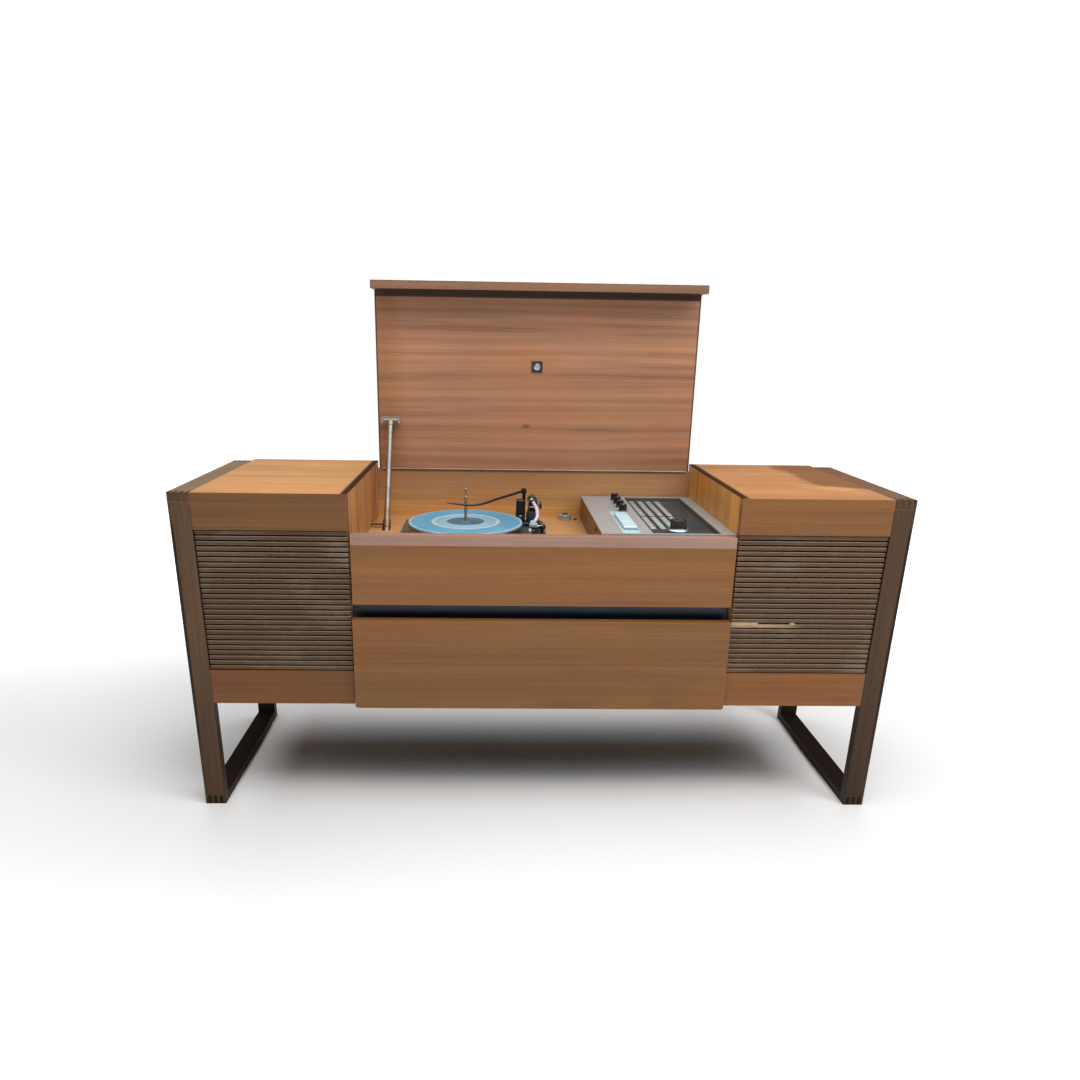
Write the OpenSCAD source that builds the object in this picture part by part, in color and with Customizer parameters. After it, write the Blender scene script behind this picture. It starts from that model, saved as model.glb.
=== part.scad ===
// Long low music cabinet: two slatted speaker boxes held between canted sled frames,
// with a lidded well for a record player and a tuner above a drawer.
// Millimetres. Z is up from the floor, +X is to the viewer's right, the front faces -Y.

/* [Overall size] */
// Width across the tops of the two sled frames
overall_width = 1678; // [1500:1:1900]
// Width across the two sled frames at the floor
floor_width = 1640; // [1470:1:1890]
// Height of the cabinet with the lid closed
cabinet_height = 780; // [720:1:860]
// Depth from the speaker box front to the back
body_depth = 516; // [490:1:600]
// Free height under the body
floor_gap = 272; // [200:1:290]
// Distance between the inner walls of the well
well_width = 886; // [870:1:980]

/* [Sled frames] */
// Width of the frame boards across the cabinet
frame_board = 49; // [40:1:60]
// Thickness of the frame boards
frame_thickness = 22; // [16:1:28]
// How far the sled frames stop short of the back of the body
frame_inset = 30; // [0:1:60]
// Number of fingers in each corner joint
finger_count = 7; // [5:2:9]

/* [Boards] */
// Thickness of the box tops, fronts, sides and bottoms
board = 18; // [15:1:20]
// Thickness of the walls on each side of the well
well_wall = 12; // [10:1:18]
// Thickness of the lid and the back wall below it
lid_thickness = 17; // [15:1:20]
// Thickness of the thin back panels
back_sheet = 4; // [3:0.5:6]
// How far the drawer front stands proud of the boxes
drawer_proud = 10; // [4:1:16]
// Side gap of the centre panels
panel_gap = 4; // [2:0.5:7]

/* [Front heights] */
// Height of the board above each grille
upper_fascia = 85; // [60:1:110]
// Height of the board below each grille
lower_fascia = 84; // [60:1:110]
// Depth of the front rail below the top of the cabinet
rail_drop = 92; // [80:1:110]
// Height of the front rail that the lid apron closes on
rail_height = 25; // [18:1:32]
// Height of the panel under the front rail
upper_panel_height = 141; // [120:1:160]
// Height of the black finger channel
channel_height = 34; // [26:1:40]
// How far the drawer front hangs below the body
drawer_drop = 6; // [0:1:12]

/* [Grille] */
// Number of slats in each grille
slat_count = 27; // [20:1:30]
// Height of one slat
slat_height = 8; // [6:0.5:9]
// Front to back size of one slat
slat_depth = 9; // [6:0.5:12]
// How far the slats lie behind the front
slat_setback = 3; // [0:0.5:5]
// Number of upright battens behind the slats
batten_count = 5; // [3:1:7]
// Width of one batten
batten_width = 20; // [12:1:30]
// Radius of the loudspeaker cone opening
speaker_radius = 80; // [60:1:90]

/* [Lid] */
// Side gap between the lid and the well walls
lid_gap = 5; // [2:0.5:8]
// Thickness of the lid apron
apron_thickness = 21; // [16:1:26]
// Outer radius of the hinge knuckles
knuckle_radius = 2.3; // [2:0.1:3]
// Number of hinge knuckles
knuckle_count = 31; // [15:2:41]
// Side of the square badge
badge_size = 30; // [20:1:40]
// Height of the badge above the foot of the lid
badge_rise = 282; // [240:1:320]

/* [Lid stay] */
// Radius of the stay tube
stay_radius = 7.5; // [5:0.5:8]
// Distance of the stay from the left wall of the well
stay_from_wall = 42; // [36:1:46]
// Distance of the guide pivot in front of the back of the body
guide_from_back = 176; // [160:1:190]
// Height of the guide pivot above the deck
guide_rise = 12; // [11:1:16]
// Height of the lid bracket above the lid hinge when open
bracket_rise = 136; // [120:1:150]

/* [Drawer] */
// Room between the drawer box and each wall of the well
drawer_side_room = 63; // [58:1:90]
// Wall thickness of the drawer box
drawer_wall = 12; // [9:1:15]

/* [Deck] */
// Depth of the deck below the top of the cabinet
deck_drop = 155; // [150:1:165]
// Thickness of the deck board
deck_thickness = 18; // [15:1:22]

/* [Record player] */
// Radius of the turntable platter
platter_radius = 145; // [125:1:150]
// Distance of the platter centre from the left wall of the well
platter_from_wall = 257; // [250:1:265]
// Distance of the platter centre behind the front
platter_y = 222; // [215:1:230]
// Height of the spindle above the mat
spindle_height = 85; // [70:1:86]
// Length from the arm pivot to the stylus
arm_length = 215; // [205:1:220]

/* [Tuner] */
// Width of the tuner across the well
tuner_width = 310; // [300:1:312]
// Height of the tuner above the deck
tuner_height = 66; // [60:1:70]
// Number of scale strips on the dial
scale_count = 4; // [3:1:5]
// Diameter of the four control knobs
control_knob = 20; // [16:1:24]
// Diameter of the tuning knob
tuning_knob_size = 39; // [30:1:42]

/* [Fits] */
// Radial running clearance of shafts
running = 0.06; // [0.03:0.01:0.1]
// Gap between loose neighbours
loose = 0.3; // [0.2:0.1:0.6]

/* [Hidden] */
$fn = 64;
top_z = cabinet_height;
half_well = well_width / 2;
box_inner = half_well + well_wall;
body_top = top_z - board;
floor_board_top = floor_gap + board;
frame_depth = body_depth - frame_inset;
centre_y = (body_depth - drawer_proud) / 2;
centre_half = half_well - panel_gap;
finger = frame_board / finger_count;
glue_line = 0.05;
// What a cut runs past the face that it opens
past = 1;

grille_top = top_z - upper_fascia;
grille_bottom = floor_gap + lower_fascia;
rail_top = top_z - rail_drop;
rail_depth = 22;
channel_top = rail_top - rail_height - upper_panel_height;
drawer_top = channel_top - channel_height;
channel_back = board + 12;
channel_web = 8;
channel_foot = drawer_top - 20;

lid_half = half_well - lid_gap;
lid_face_y = body_depth - lid_thickness;
hinge_offset = knuckle_radius + loose;
hinge_y = lid_face_y - hinge_offset;
hinge_z = top_z - lid_thickness - hinge_offset;
hinge_half = half_well - 13;
hinge_pin = 1.2;
leaf = 1;
lid_foot = leaf + 0.2;
lid_bottom = hinge_z + lid_foot;
lid_top = lid_bottom + hinge_y - lid_foot;
apron_depth = top_z - lid_thickness - rail_top - 1;
apron_batten = 12;
wall_top = hinge_z - lid_foot;
knuckle_pitch = 2 * hinge_half / knuckle_count;

deck_z = top_z - deck_drop;
deck_low = deck_z - deck_thickness;
back_wall_foot = deck_low - 17;
back_y = body_depth - 8;

slat_pitch = (grille_top - grille_bottom) / slat_count;
baffle_thickness = 12;
speaker_z = (grille_top + grille_bottom) / 2;

stay_x = half_well - stay_from_wall;
guide_y = body_depth - guide_from_back;
guide_z = deck_z + guide_rise;
guide_radius = stay_radius + 3;
guide_stud = 5;
guide_socket = 8;
bracket_reach = 15;
bracket_half = 24.5;
bracket_height = 16;
stay_dy = hinge_y - bracket_reach - guide_y;
stay_dz = hinge_z + bracket_rise - guide_z;
stay_open = sqrt(stay_dy * stay_dy + stay_dz * stay_dz);
stay_lean = atan2(stay_dy, stay_dz);
stay_tail = 35;
stay_wall = 1;
crossbar_half = bracket_half - 4;
crossbar_radius = 5.5;

drawer_half = half_well - drawer_side_room;
drawer_bottom = 6;
drawer_corner = 6;
runner_height = 10;
runner_gap = 2;
drawer_floor_z = floor_board_top + runner_height;
drawer_box_top = channel_foot - 6;
drawer_back = body_depth - 36;

platter_x = platter_from_wall - half_well;
plate_left = platter_x - platter_radius - 21;
plate_right = platter_x + platter_radius + 59;
plate_front = platter_y - platter_radius - 11;
plate_back = platter_y + platter_radius + 11;
plate_top = deck_z + 15;
plate_thickness = 4;
plate_low = plate_top - plate_thickness;
plate_skirt = 12;
platter_bottom = plate_top + 6;
platter_top = platter_bottom + 22;
mat_thickness = 4;
mat_step = 0.8;
sleeve_radius = 6;
bearing_low = deck_z - 19;
arm_x = platter_x + platter_radius + 29;
arm_y = platter_y + 100;
arm_pivot_z = plate_top + 62;
arm_head_z = arm_pivot_z - 12;
arm_rest_y = arm_y - 152;
arm_rest_z = arm_pivot_z - 15.6;
pickup_floor = platter_top + mat_thickness + 1.6;
yoke_shaft = 5;
trunnion = 2;
trunnion_half = 12;
motor_x = platter_x + 76;
motor_y = platter_y + 48;
lever_x = plate_right - 14;
lever_y = plate_front + 32;
lever_shaft = 3;
post_x = platter_x + platter_radius + 6;
post_y = platter_y + 128;
post_top = plate_top + 88;
post_radius = 4.5;

tuner_right = half_well - 0.5;
tuner_left = tuner_right - tuner_width;
tuner_front = rail_depth + loose;
tuner_back = lid_face_y - 19;
tuner_top = deck_z + tuner_height;
tuner_sheet = 3;
tuner_low = tuner_top - tuner_sheet;
tuner_wall = 8;
tray_depth = 10;
dial_left = tuner_left + 119;
dial_right = tuner_right - 32;
dial_front = 29;
dial_back = tuner_back - 15;
strip_first = dial_left + 8;
strip_width = 13;
strip_pitch = 23.5;
strip_near = dial_front + 51;
strip_far = dial_back - 45;
control_x = tuner_left + 88;
control_pitch = 50;
control_first = tuner_back - 200;
control_shaft = 3;
tuning_x = dial_left + 65;
tuning_y = dial_front + 34;
tuning_shaft = 4;
tuning_skirt = 27;
key_left = tuner_left + 56;
key_width = 32;
key_front = 58;
key_pitch = 54;
key_count = 3;
key_gap = 0.5;

adapter_x = tuner_left - 44.5;
adapter_y = lid_face_y - 25;

chassis_left = tuner_left + 17.5;
chassis_right = tuner_right - 12.5;
chassis_front = body_depth - 216;
chassis_back = body_depth - 26;
chassis_low = deck_z - 105;
inlet_x = chassis_left + 100;
inlet_z = deck_z - 185;
inlet_width = 44;
inlet_height = 30;

// Half width to the outer face of a sled frame at a height
function outer_x(z) = floor_width / 2 + (overall_width - floor_width) / 2 * z / top_z;
// Half width to the inner face of a sled frame at a height
function inner_x(z) = outer_x(z) - frame_board;

// Places what is drawn from the speaker box front into the shared frame
module from_front() {
  translate([0, -centre_y, 0]) children();
}

// Extrudes an X-Z outline from one depth to another
module along_y(near, far) {
  translate([0, far, 0]) rotate([90, 0, 0]) linear_extrude(far - near) children();
}

// Extrudes a Y-Z outline from one side to another
module along_x(low, high) {
  translate([low, 0, 0]) rotate([90, 0, 90]) linear_extrude(high - low) children();
}

// Box between two corners
module block(low, high) {
  translate(low) cube(high - low);
}

// Round bar between two points
module bar(a, b, r) {
  d = b - a;
  translate(a)
    rotate([0, acos(d[2] / norm(d)), atan2(d[1], d[0])])
      cylinder(h = norm(d), r = r);
}

// Draws the right side as it is, and the left side mirrored
module on_side(side) {
  if (side < 0) mirror([1, 0, 0]) children();
  else children();
}

// ---- sled frames ----

// Canted strip of a frame board between two heights
module board_outline(low, high, from, to) {
  polygon([
    [inner_x(low) + from, low], [inner_x(low) + to, low],
    [inner_x(high) + to, high], [inner_x(high) + from, high]
  ]);
}

// Every second finger of a corner joint, cut out of a board
module finger_slots(first, low, high, near, far) {
  for (k = [first : 2 : finger_count - 1])
    along_y(near, far)
      board_outline(low, high, k * finger - glue_line, (k + 1) * finger + glue_line);
}

module frame_post(near) {
  far = near + frame_thickness;
  difference() {
    along_y(near, far) board_outline(0, top_z, 0, frame_board);
    finger_slots(1, -past, frame_thickness, near - past, far + past);
    finger_slots(1, top_z - frame_thickness, top_z + past, near - past, far + past);
  }
}

module frame_rail(low) {
  high = low + frame_thickness;
  difference() {
    along_y(0, frame_depth) board_outline(low, high, 0, frame_board);
    finger_slots(0, low - past, high + past, -past, frame_thickness);
    finger_slots(0, low - past, high + past, frame_depth - frame_thickness, frame_depth + past);
  }
}

module frame_posts(side) {
  color([0.24, 0.17, 0.13]) from_front() on_side(side) {
    frame_post(0);
    frame_post(frame_depth - frame_thickness);
  }
}

module frame_rails(side) {
  color([0.26, 0.18, 0.14]) from_front() on_side(side) {
    frame_rail(0);
    frame_rail(top_z - frame_thickness);
  }
}

module left_frame_posts() { frame_posts(-1); }
module left_frame_rails() { frame_rails(-1); }
module right_frame_posts() { frame_posts(1); }
module right_frame_rails() { frame_rails(1); }

// ---- speaker boxes ----

// Space of a speaker box between two heights, out to a distance from the sled frame
module box_outline(inner, low, high, inset) {
  polygon([
    [inner, low], [inner_x(low) - inset, low],
    [inner_x(high) - inset, high], [inner, high]
  ]);
}

module box_top(side) {
  color([0.72, 0.45, 0.24]) from_front() on_side(side)
    intersection() {
      along_x(box_inner, overall_width)
        polygon([[0, top_z], [body_depth, top_z], [body_depth, body_top], [board, body_top]]);
      along_y(-past, body_depth + past) box_outline(box_inner, body_top, top_z, 0);
    }
}

module box_carcass(side) {
  color([0.55, 0.34, 0.19]) from_front() on_side(side)
    along_y(board, body_depth)
      polygon([
        [box_inner, floor_gap], [inner_x(floor_gap), floor_gap],
        [inner_x(body_top), body_top], [inner_x(body_top) - board, body_top],
        [inner_x(floor_board_top) - board, floor_board_top], [box_inner, floor_board_top]
      ]);
}

module box_front(side) {
  color([0.55, 0.36, 0.22]) from_front() on_side(side) {
    intersection() {
      along_x(half_well, overall_width)
        polygon([[0, grille_top], [0, top_z], [board, body_top], [board, grille_top]]);
      along_y(-past, board + past) box_outline(half_well, grille_top, top_z, 0);
    }
    along_y(0, board) box_outline(half_well, floor_gap, grille_bottom, 0);
  }
}

module grille_slats(side) {
  color([0.40, 0.31, 0.24]) from_front() on_side(side)
    for (k = [0 : slat_count - 1]) {
      low = grille_bottom + (k + 0.5) * slat_pitch - slat_height / 2;
      along_y(slat_setback, slat_setback + slat_depth)
        box_outline(half_well + 1, low, low + slat_height, 1);
    }
}

// Sideways middle of the loudspeaker in its box
function speaker_x() = (box_inner + inner_x(speaker_z) - board) / 2;

module baffle(side) {
  first = box_inner + batten_width;
  last = inner_x(grille_bottom) - 2 * batten_width;
  spacing = (last - first) / (batten_count - 1);
  color([0.12, 0.10, 0.09]) from_front() on_side(side) {
    difference() {
      along_y(board, board + baffle_thickness)
        box_outline(box_inner, floor_board_top, body_top, board);
      translate([speaker_x(), board - past, speaker_z])
        rotate([-90, 0, 0]) cylinder(h = baffle_thickness + 2 * past, r = speaker_radius);
    }
    for (k = [0 : batten_count - 1])
      translate([first + k * spacing, 0, 0])
        block([-batten_width / 2, slat_setback + slat_depth, grille_bottom],
              [batten_width / 2, board, grille_top]);
  }
}

module speaker(side) {
  flange = speaker_radius + 14;
  neck = speaker_radius * 0.46;
  magnet = 52;
  depth = 88;
  color([0.16, 0.16, 0.17]) from_front() on_side(side)
    translate([speaker_x(), board + baffle_thickness, speaker_z]) rotate([-90, 0, 0])
      rotate_extrude($fn = 96)
        polygon([
          [speaker_radius - 4, 0], [flange, 0], [flange, 4], [speaker_radius - 2, 4],
          [neck, 60], [magnet, 60], [magnet, depth], [0, depth], [0, 50], [neck - 12, 50]
        ]);
}

module left_box_top() { box_top(-1); }
module right_box_top() { box_top(1); }
module left_box_carcass() { box_carcass(-1); }
module right_box_carcass() { box_carcass(1); }
module left_box_front() { box_front(-1); }
module right_box_front() { box_front(1); }
module left_grille_slats() { grille_slats(-1); }
module right_grille_slats() { grille_slats(1); }
module left_baffle() { baffle(-1); }
module right_baffle() { baffle(1); }
module left_speaker() { speaker(-1); }
module right_speaker() { speaker(1); }

// ---- back panels ----

module back_panels() {
  far = back_y + back_sheet;
  slot_height = 45;
  color([0.42, 0.29, 0.20]) from_front() {
    for (side = [-1, 1])
      on_side(side) along_y(back_y, far) box_outline(box_inner, floor_board_top, body_top, board);
    difference() {
      block([-half_well, back_y, floor_board_top], [half_well, far, back_wall_foot]);
      for (k = [0 : 11], row = [0 : 1])
        translate([-half_well + 143 + k * 40, 0, back_wall_foot - 120 + row * 60])
          block([0, back_y - past, 0], [8, far + past, slot_height]);
      block([inlet_x - inlet_width / 2, back_y - past, inlet_z],
            [inlet_x + inlet_width / 2, far + past, inlet_z + inlet_height]);
    }
  }
}

// ---- centre carcass ----

module well_sides() {
  color([0.60, 0.38, 0.20]) from_front()
    difference() {
      for (side = [-1, 1])
        on_side(side) along_x(half_well, box_inner)
          polygon([
            [board, floor_gap], [body_depth, floor_gap], [body_depth, top_z],
            [0, top_z], [board, body_top]
          ]);
      translate([-half_well - guide_socket - loose, guide_y, guide_z])
        rotate([0, 90, 0]) cylinder(h = guide_socket + loose + past, r = guide_stud + running);
    }
}

module centre_bottom() {
  ledge = drawer_half - 30;
  cheek = drawer_half + runner_gap;
  color([0.52, 0.34, 0.20]) from_front() {
    block([-half_well, board + 2, floor_gap], [half_well, body_depth, floor_board_top]);
    for (side = [-1, 1])
      on_side(side) along_y(board + baffle_thickness, back_y - 10)
        polygon([
          [ledge, floor_board_top], [cheek + 12, floor_board_top], [cheek + 12, drawer_floor_z + 30],
          [cheek, drawer_floor_z + 30], [cheek, drawer_floor_z], [ledge, drawer_floor_z]
        ]);
  }
}

module back_wall() {
  color([0.66, 0.42, 0.22]) from_front()
    block([-half_well, lid_face_y, back_wall_foot], [half_well, body_depth, wall_top]);
}

module deck_board() {
  slot_half = guide_radius + 0.5;
  color([0.70, 0.43, 0.22]) from_front()
    difference() {
      block([-half_well, board, deck_low], [half_well, lid_face_y, deck_z]);
      block([plate_left + 22, plate_front + 18, deck_low - past],
            [plate_right - 18, plate_back - 12, deck_z + past]);
      block([tuner_left + 24, 60, deck_low - past], [tuner_right - 38, tuner_back - 40, deck_z + past]);
      block([-stay_x - slot_half, guide_y - 30, deck_low - past],
            [-stay_x + slot_half, guide_y + 10, deck_z + past]);
    }
}

module front_rail() {
  color([0.50, 0.35, 0.29]) from_front()
    block([-centre_half, 0, rail_top - rail_height], [centre_half, rail_depth, rail_top]);
}

module upper_front_panel() {
  color([0.55, 0.36, 0.22]) from_front()
    block([-centre_half, 0, channel_top], [centre_half, board, rail_top - rail_height]);
}

module finger_channel() {
  high = channel_top + 8;
  color([0.05, 0.05, 0.05]) from_front()
    along_x(-half_well, half_well)
      polygon([
        [channel_back, channel_foot], [channel_back + channel_web, channel_foot],
        [channel_back + channel_web, high], [board, high], [board, channel_top], [channel_back, channel_top]
      ]);
}

// ---- lid ----

module lid_panel() {
  color([0.52, 0.32, 0.20]) from_front()
    block([-lid_half, lid_face_y, lid_bottom], [lid_half, body_depth, lid_top]);
}

module lid_apron() {
  low = lid_top - apron_thickness;
  color([0.50, 0.33, 0.26]) from_front() {
    block([-lid_half, lid_face_y - apron_depth, low], [lid_half, lid_face_y, lid_top]);
    block([-lid_half + 30, lid_face_y - apron_batten, low - apron_batten],
          [lid_half - 30, lid_face_y, low]);
  }
}

module lid_badge() {
  half = badge_size / 2;
  rim = 2;
  face = lid_face_y - 1.4;
  color([0.12, 0.12, 0.13]) from_front() translate([0, 0, lid_bottom + badge_rise])
    difference() {
      block([-half, face - 1, -half], [half, lid_face_y, half]);
      block([-half + rim, face - 1 - past, -half + rim], [half - rim, face, half - rim]);
    }
}

// Knuckles of one leaf, each with the tongue that joins it to the leaf
module knuckles(first, low, high) {
  for (k = [first : 2 : knuckle_count - 1]) {
    left = -hinge_half + k * knuckle_pitch + loose / 2;
    right = left + knuckle_pitch - loose;
    translate([left, hinge_y, hinge_z]) rotate([0, 90, 0])
      cylinder(h = right - left, r = knuckle_radius, $fn = 32);
    block([left, hinge_y + 0.5, low], [right, hinge_y + knuckle_radius + 1, high]);
  }
}

leaf_start = hinge_y + knuckle_radius + 0.5;
leaf_end = lid_face_y + 13;

module hinge_wall_leaf() {
  color([0.75, 0.66, 0.46]) from_front() {
    knuckles(0, wall_top, wall_top + leaf);
    block([-hinge_half, leaf_start, wall_top], [hinge_half, leaf_end, wall_top + leaf]);
    translate([-hinge_half, hinge_y, hinge_z]) rotate([0, 90, 0])
      cylinder(h = 2 * hinge_half, r = hinge_pin);
  }
}

module hinge_lid_leaf() {
  color([0.75, 0.66, 0.46]) from_front()
    difference() {
      union() {
        knuckles(1, lid_bottom - leaf, lid_bottom);
        block([-hinge_half, leaf_start, lid_bottom - leaf], [hinge_half, leaf_end, lid_bottom]);
      }
      translate([-hinge_half - past, hinge_y, hinge_z]) rotate([0, 90, 0])
        cylinder(h = 2 * (hinge_half + past), r = hinge_pin + running);
    }
}

// ---- lid stay ----

module stay_lid_bracket() {
  sheet = 1.5;
  low = hinge_z + bracket_rise - bracket_height / 2;
  high = low + bracket_height;
  ear_front = hinge_y - bracket_reach - crossbar_radius - 0.5;
  color([0.80, 0.80, 0.82]) from_front() translate([-stay_x, 0, 0]) {
    block([-bracket_half, lid_face_y - sheet, low], [bracket_half, lid_face_y, high]);
    block([-bracket_half, ear_front, low], [-bracket_half + 2, lid_face_y, high]);
    block([bracket_half - 2, ear_front, low], [bracket_half, lid_face_y, high]);
  }
}

// Lies along the line from the guide pivot to the lid bracket
module along_stay() {
  translate([-stay_x, guide_y, guide_z]) rotate([-stay_lean, 0, 0]) children();
}

module stay_tube() {
  color([0.78, 0.78, 0.78]) from_front()
    along_stay() {
      difference() {
        translate([0, 0, -stay_tail])
          cylinder(h = stay_open + stay_tail - 4, r = stay_radius);
        translate([0, 0, -stay_tail - past])
          cylinder(h = stay_open + stay_tail - 8, r = stay_radius - stay_wall);
      }
      translate([-crossbar_half, 0, stay_open]) rotate([0, 90, 0])
        cylinder(h = 2 * crossbar_half, r = crossbar_radius);
      translate([0, 0, stay_open - 16]) cylinder(h = 12, r = stay_radius + 1.5);
    }
}

module stay_guide() {
  color([0.70, 0.70, 0.72]) from_front()
    difference() {
      union() {
        along_stay() translate([0, 0, -9]) cylinder(h = 18, r = guide_radius);
        translate([-half_well - guide_socket, guide_y, guide_z]) rotate([0, 90, 0])
          cylinder(h = stay_from_wall + guide_socket, r = guide_stud);
      }
      along_stay() translate([0, 0, -60]) cylinder(h = 120, r = stay_radius + running);
    }
}

// ---- drawer ----

module drawer_front() {
  low = floor_gap - drawer_drop;
  half = centre_half + 1;
  color([0.55, 0.36, 0.22]) from_front()
    along_y(-drawer_proud, board - drawer_proud)
      union() {
        translate([-half, low + drawer_corner])
          square([2 * half, drawer_top - low - drawer_corner]);
        translate([drawer_corner - half, low])
          square([2 * (half - drawer_corner), drawer_corner + 1]);
        for (side = [-1, 1])
          translate([side * (half - drawer_corner), low + drawer_corner]) circle(r = drawer_corner);
      }
}

module drawer_box() {
  near = board - drawer_proud;
  inside = drawer_half - drawer_wall;
  color([0.76, 0.62, 0.42]) from_front()
    difference() {
      block([-drawer_half, near, drawer_floor_z], [drawer_half, drawer_back, drawer_box_top]);
      block([-inside, near + drawer_wall, drawer_floor_z + drawer_bottom],
            [inside, drawer_back - drawer_wall, drawer_box_top + past]);
    }
}

// ---- record player ----

module turntable_plate() {
  skirt = 2;
  foot = 6;
  color([0.13, 0.14, 0.15]) from_front()
    difference() {
      union() {
        block([plate_left, plate_front, plate_low], [plate_right, plate_back, plate_top]);
        difference() {
          block([plate_left, plate_front, plate_top - plate_skirt], [plate_right, plate_back, plate_top - 1]);
          block([plate_left + skirt, plate_front + skirt, plate_top - plate_skirt - past],
                [plate_right - skirt, plate_back - skirt, plate_top]);
        }
        for (x = [plate_left + foot + 5, plate_right - foot - 3], y = [plate_front + foot + 3, plate_back - foot - 1])
          translate([x, y, deck_z]) cylinder(h = plate_low - deck_z + past, r = foot);
        translate([platter_x, platter_y, bearing_low]) cylinder(h = plate_low - bearing_low + past, r = 18);
        block([arm_x - 8, arm_rest_y - 4, plate_low], [arm_x + 8, arm_rest_y + 4, arm_rest_z]);
      }
      translate([platter_x, platter_y, bearing_low + 2]) cylinder(h = 60, r = sleeve_radius + running);
      translate([motor_x, motor_y, plate_low - past]) cylinder(h = 10, r = 9);
      translate([post_x, post_y, plate_low - past]) cylinder(h = 10, r = post_radius + running);
      translate([lever_x, lever_y, plate_low - past]) cylinder(h = 10, r = lever_shaft + running);
    }
}

module platter() {
  color([0.72, 0.73, 0.75]) from_front()
    translate([platter_x, platter_y, 0])
      rotate_extrude($fn = 128)
        polygon([
          [sleeve_radius + running, platter_bottom], [16, platter_bottom], [16, platter_top - 6],
          [platter_radius - 5, platter_top - 6], [platter_radius - 5, platter_bottom],
          [platter_radius - 1, platter_bottom], [platter_radius, platter_bottom + 1],
          [platter_radius, platter_top - 1], [platter_radius - 1, platter_top],
          [sleeve_radius + running, platter_top]
        ]);
}

module platter_mat() {
  r = platter_radius - 2;
  face = platter_top + mat_thickness;
  low = face - mat_step;
  bore = sleeve_radius + 0.6;
  color([0.32, 0.45, 0.55]) from_front()
    translate([platter_x, platter_y, 0])
      rotate_extrude($fn = 128)
        polygon([
          [bore, platter_top], [r, platter_top], [r, face - 1], [r - 1, face], [r - 9, face],
          [r - 9, low], [0.60 * r, low], [0.60 * r, face], [0.55 * r, face], [0.55 * r, low],
          [0.34 * r, low], [0.34 * r, face], [0.30 * r, face], [0.30 * r, low - 0.4], [bore, low - 0.4]
        ]);
}

module spindle() {
  tip = platter_top + mat_thickness + spindle_height;
  collar = 13;
  stem = 3.6;
  point = 2.6;
  color([0.80, 0.80, 0.80]) from_front()
    translate([platter_x, platter_y, 0])
      rotate_extrude()
        polygon([
          [0, bearing_low + 3], [sleeve_radius, bearing_low + 3], [sleeve_radius, plate_top],
          [collar, plate_top], [collar, platter_bottom], [sleeve_radius, platter_bottom],
          [sleeve_radius, platter_top], [stem, platter_top + 3], [stem, tip - 22],
          [point, tip - 20], [point, tip - 2], [1.2, tip], [0, tip]
        ]);
}

module overarm() {
  head = [post_x, post_y, post_top];
  bend = [platter_x + 23, platter_y - 2, post_top - 13];
  tail = [platter_x - 45, platter_y - 26, post_top - 4];
  color([0.08, 0.08, 0.09]) from_front() {
    translate([post_x, post_y, plate_low]) cylinder(h = post_top - plate_low, r = post_radius);
    translate([post_x, post_y, plate_top]) cylinder(h = 8, r = 8);
    translate(head - [0, 0, 8]) cylinder(h = 14, r = 7);
    bar(head, bend, 3);
    translate(bend - [0, 0, 5]) cylinder(h = 10, r = 5);
    bar(bend, tail, 2.2);
    translate(tail - [0, 0, 6]) cylinder(h = 10, r = 4.5);
  }
}

module tonearm_base() {
  color([0.16, 0.16, 0.17]) from_front()
    translate([arm_x, arm_y, plate_top])
      difference() {
        cylinder(h = 34, r = 17);
        translate([0, 0, 10]) cylinder(h = 40, r = yoke_shaft + running);
      }
}

module tonearm_yoke() {
  low = plate_top + 34;
  color([0.20, 0.20, 0.21]) from_front()
    translate([arm_x, arm_y, 0])
      difference() {
        union() {
          translate([0, 0, plate_top + 12]) cylinder(h = 24, r = yoke_shaft);
          translate([0, 0, low]) cylinder(h = 4, r = 16);
          for (side = [-1, 1])
            block([side * 10.5 - 1.5, -7, low + 2], [side * 10.5 + 1.5, 7, arm_pivot_z + 7]);
        }
        translate([-trunnion_half - 2, 0, arm_pivot_z]) rotate([0, 90, 0])
          cylinder(h = 2 * trunnion_half + 4, r = trunnion + running);
      }
}

module tonearm() {
  neck = [0, -8, arm_pivot_z];
  shell = -arm_length;
  head = [0, shell + 24, arm_head_z];
  color([0.70, 0.70, 0.71]) from_front()
    translate([arm_x, arm_y, 0]) {
      translate([-trunnion_half, 0, arm_pivot_z]) rotate([0, 90, 0])
        cylinder(h = 2 * trunnion_half, r = trunnion);
      block([-8, -9, arm_pivot_z - 8], [8, 9, arm_pivot_z + 8]);
      bar(neck, head, 4.2);
      translate([0, 8, arm_pivot_z]) rotate([-90, 0, 0]) cylinder(h = 13, r = 3.5);
      translate([0, 20, arm_pivot_z]) rotate([-90, 0, 0]) cylinder(h = 26, r = 13);
      translate([0, 0, arm_head_z]) along_y(shell - 12, shell + 28)
        polygon([[-9, -6], [9, -6], [10, 2], [6, 6], [-6, 6], [-10, 2]]);
      block([-6, shell - 8, pickup_floor + 2], [6, shell + 14, arm_head_z - 5]);
      translate([0, shell, pickup_floor]) cylinder(h = 3, r1 = 0.6, r2 = 2);
      block([9, shell - 10, arm_head_z - 2], [20, shell - 6, arm_head_z]);
    }
}

module start_lever() {
  reach = 24;
  color([0.75, 0.75, 0.76]) from_front()
    translate([lever_x, lever_y, plate_top]) {
      translate([0, 0, -plate_thickness - 4]) cylinder(h = plate_thickness + 10, r = lever_shaft);
      cylinder(h = 6, r = 8);
      block([-3, -reach, 2], [3, 0, 6]);
      translate([0, -reach, 2]) cylinder(h = 12, r = 4.5);
    }
}

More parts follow.
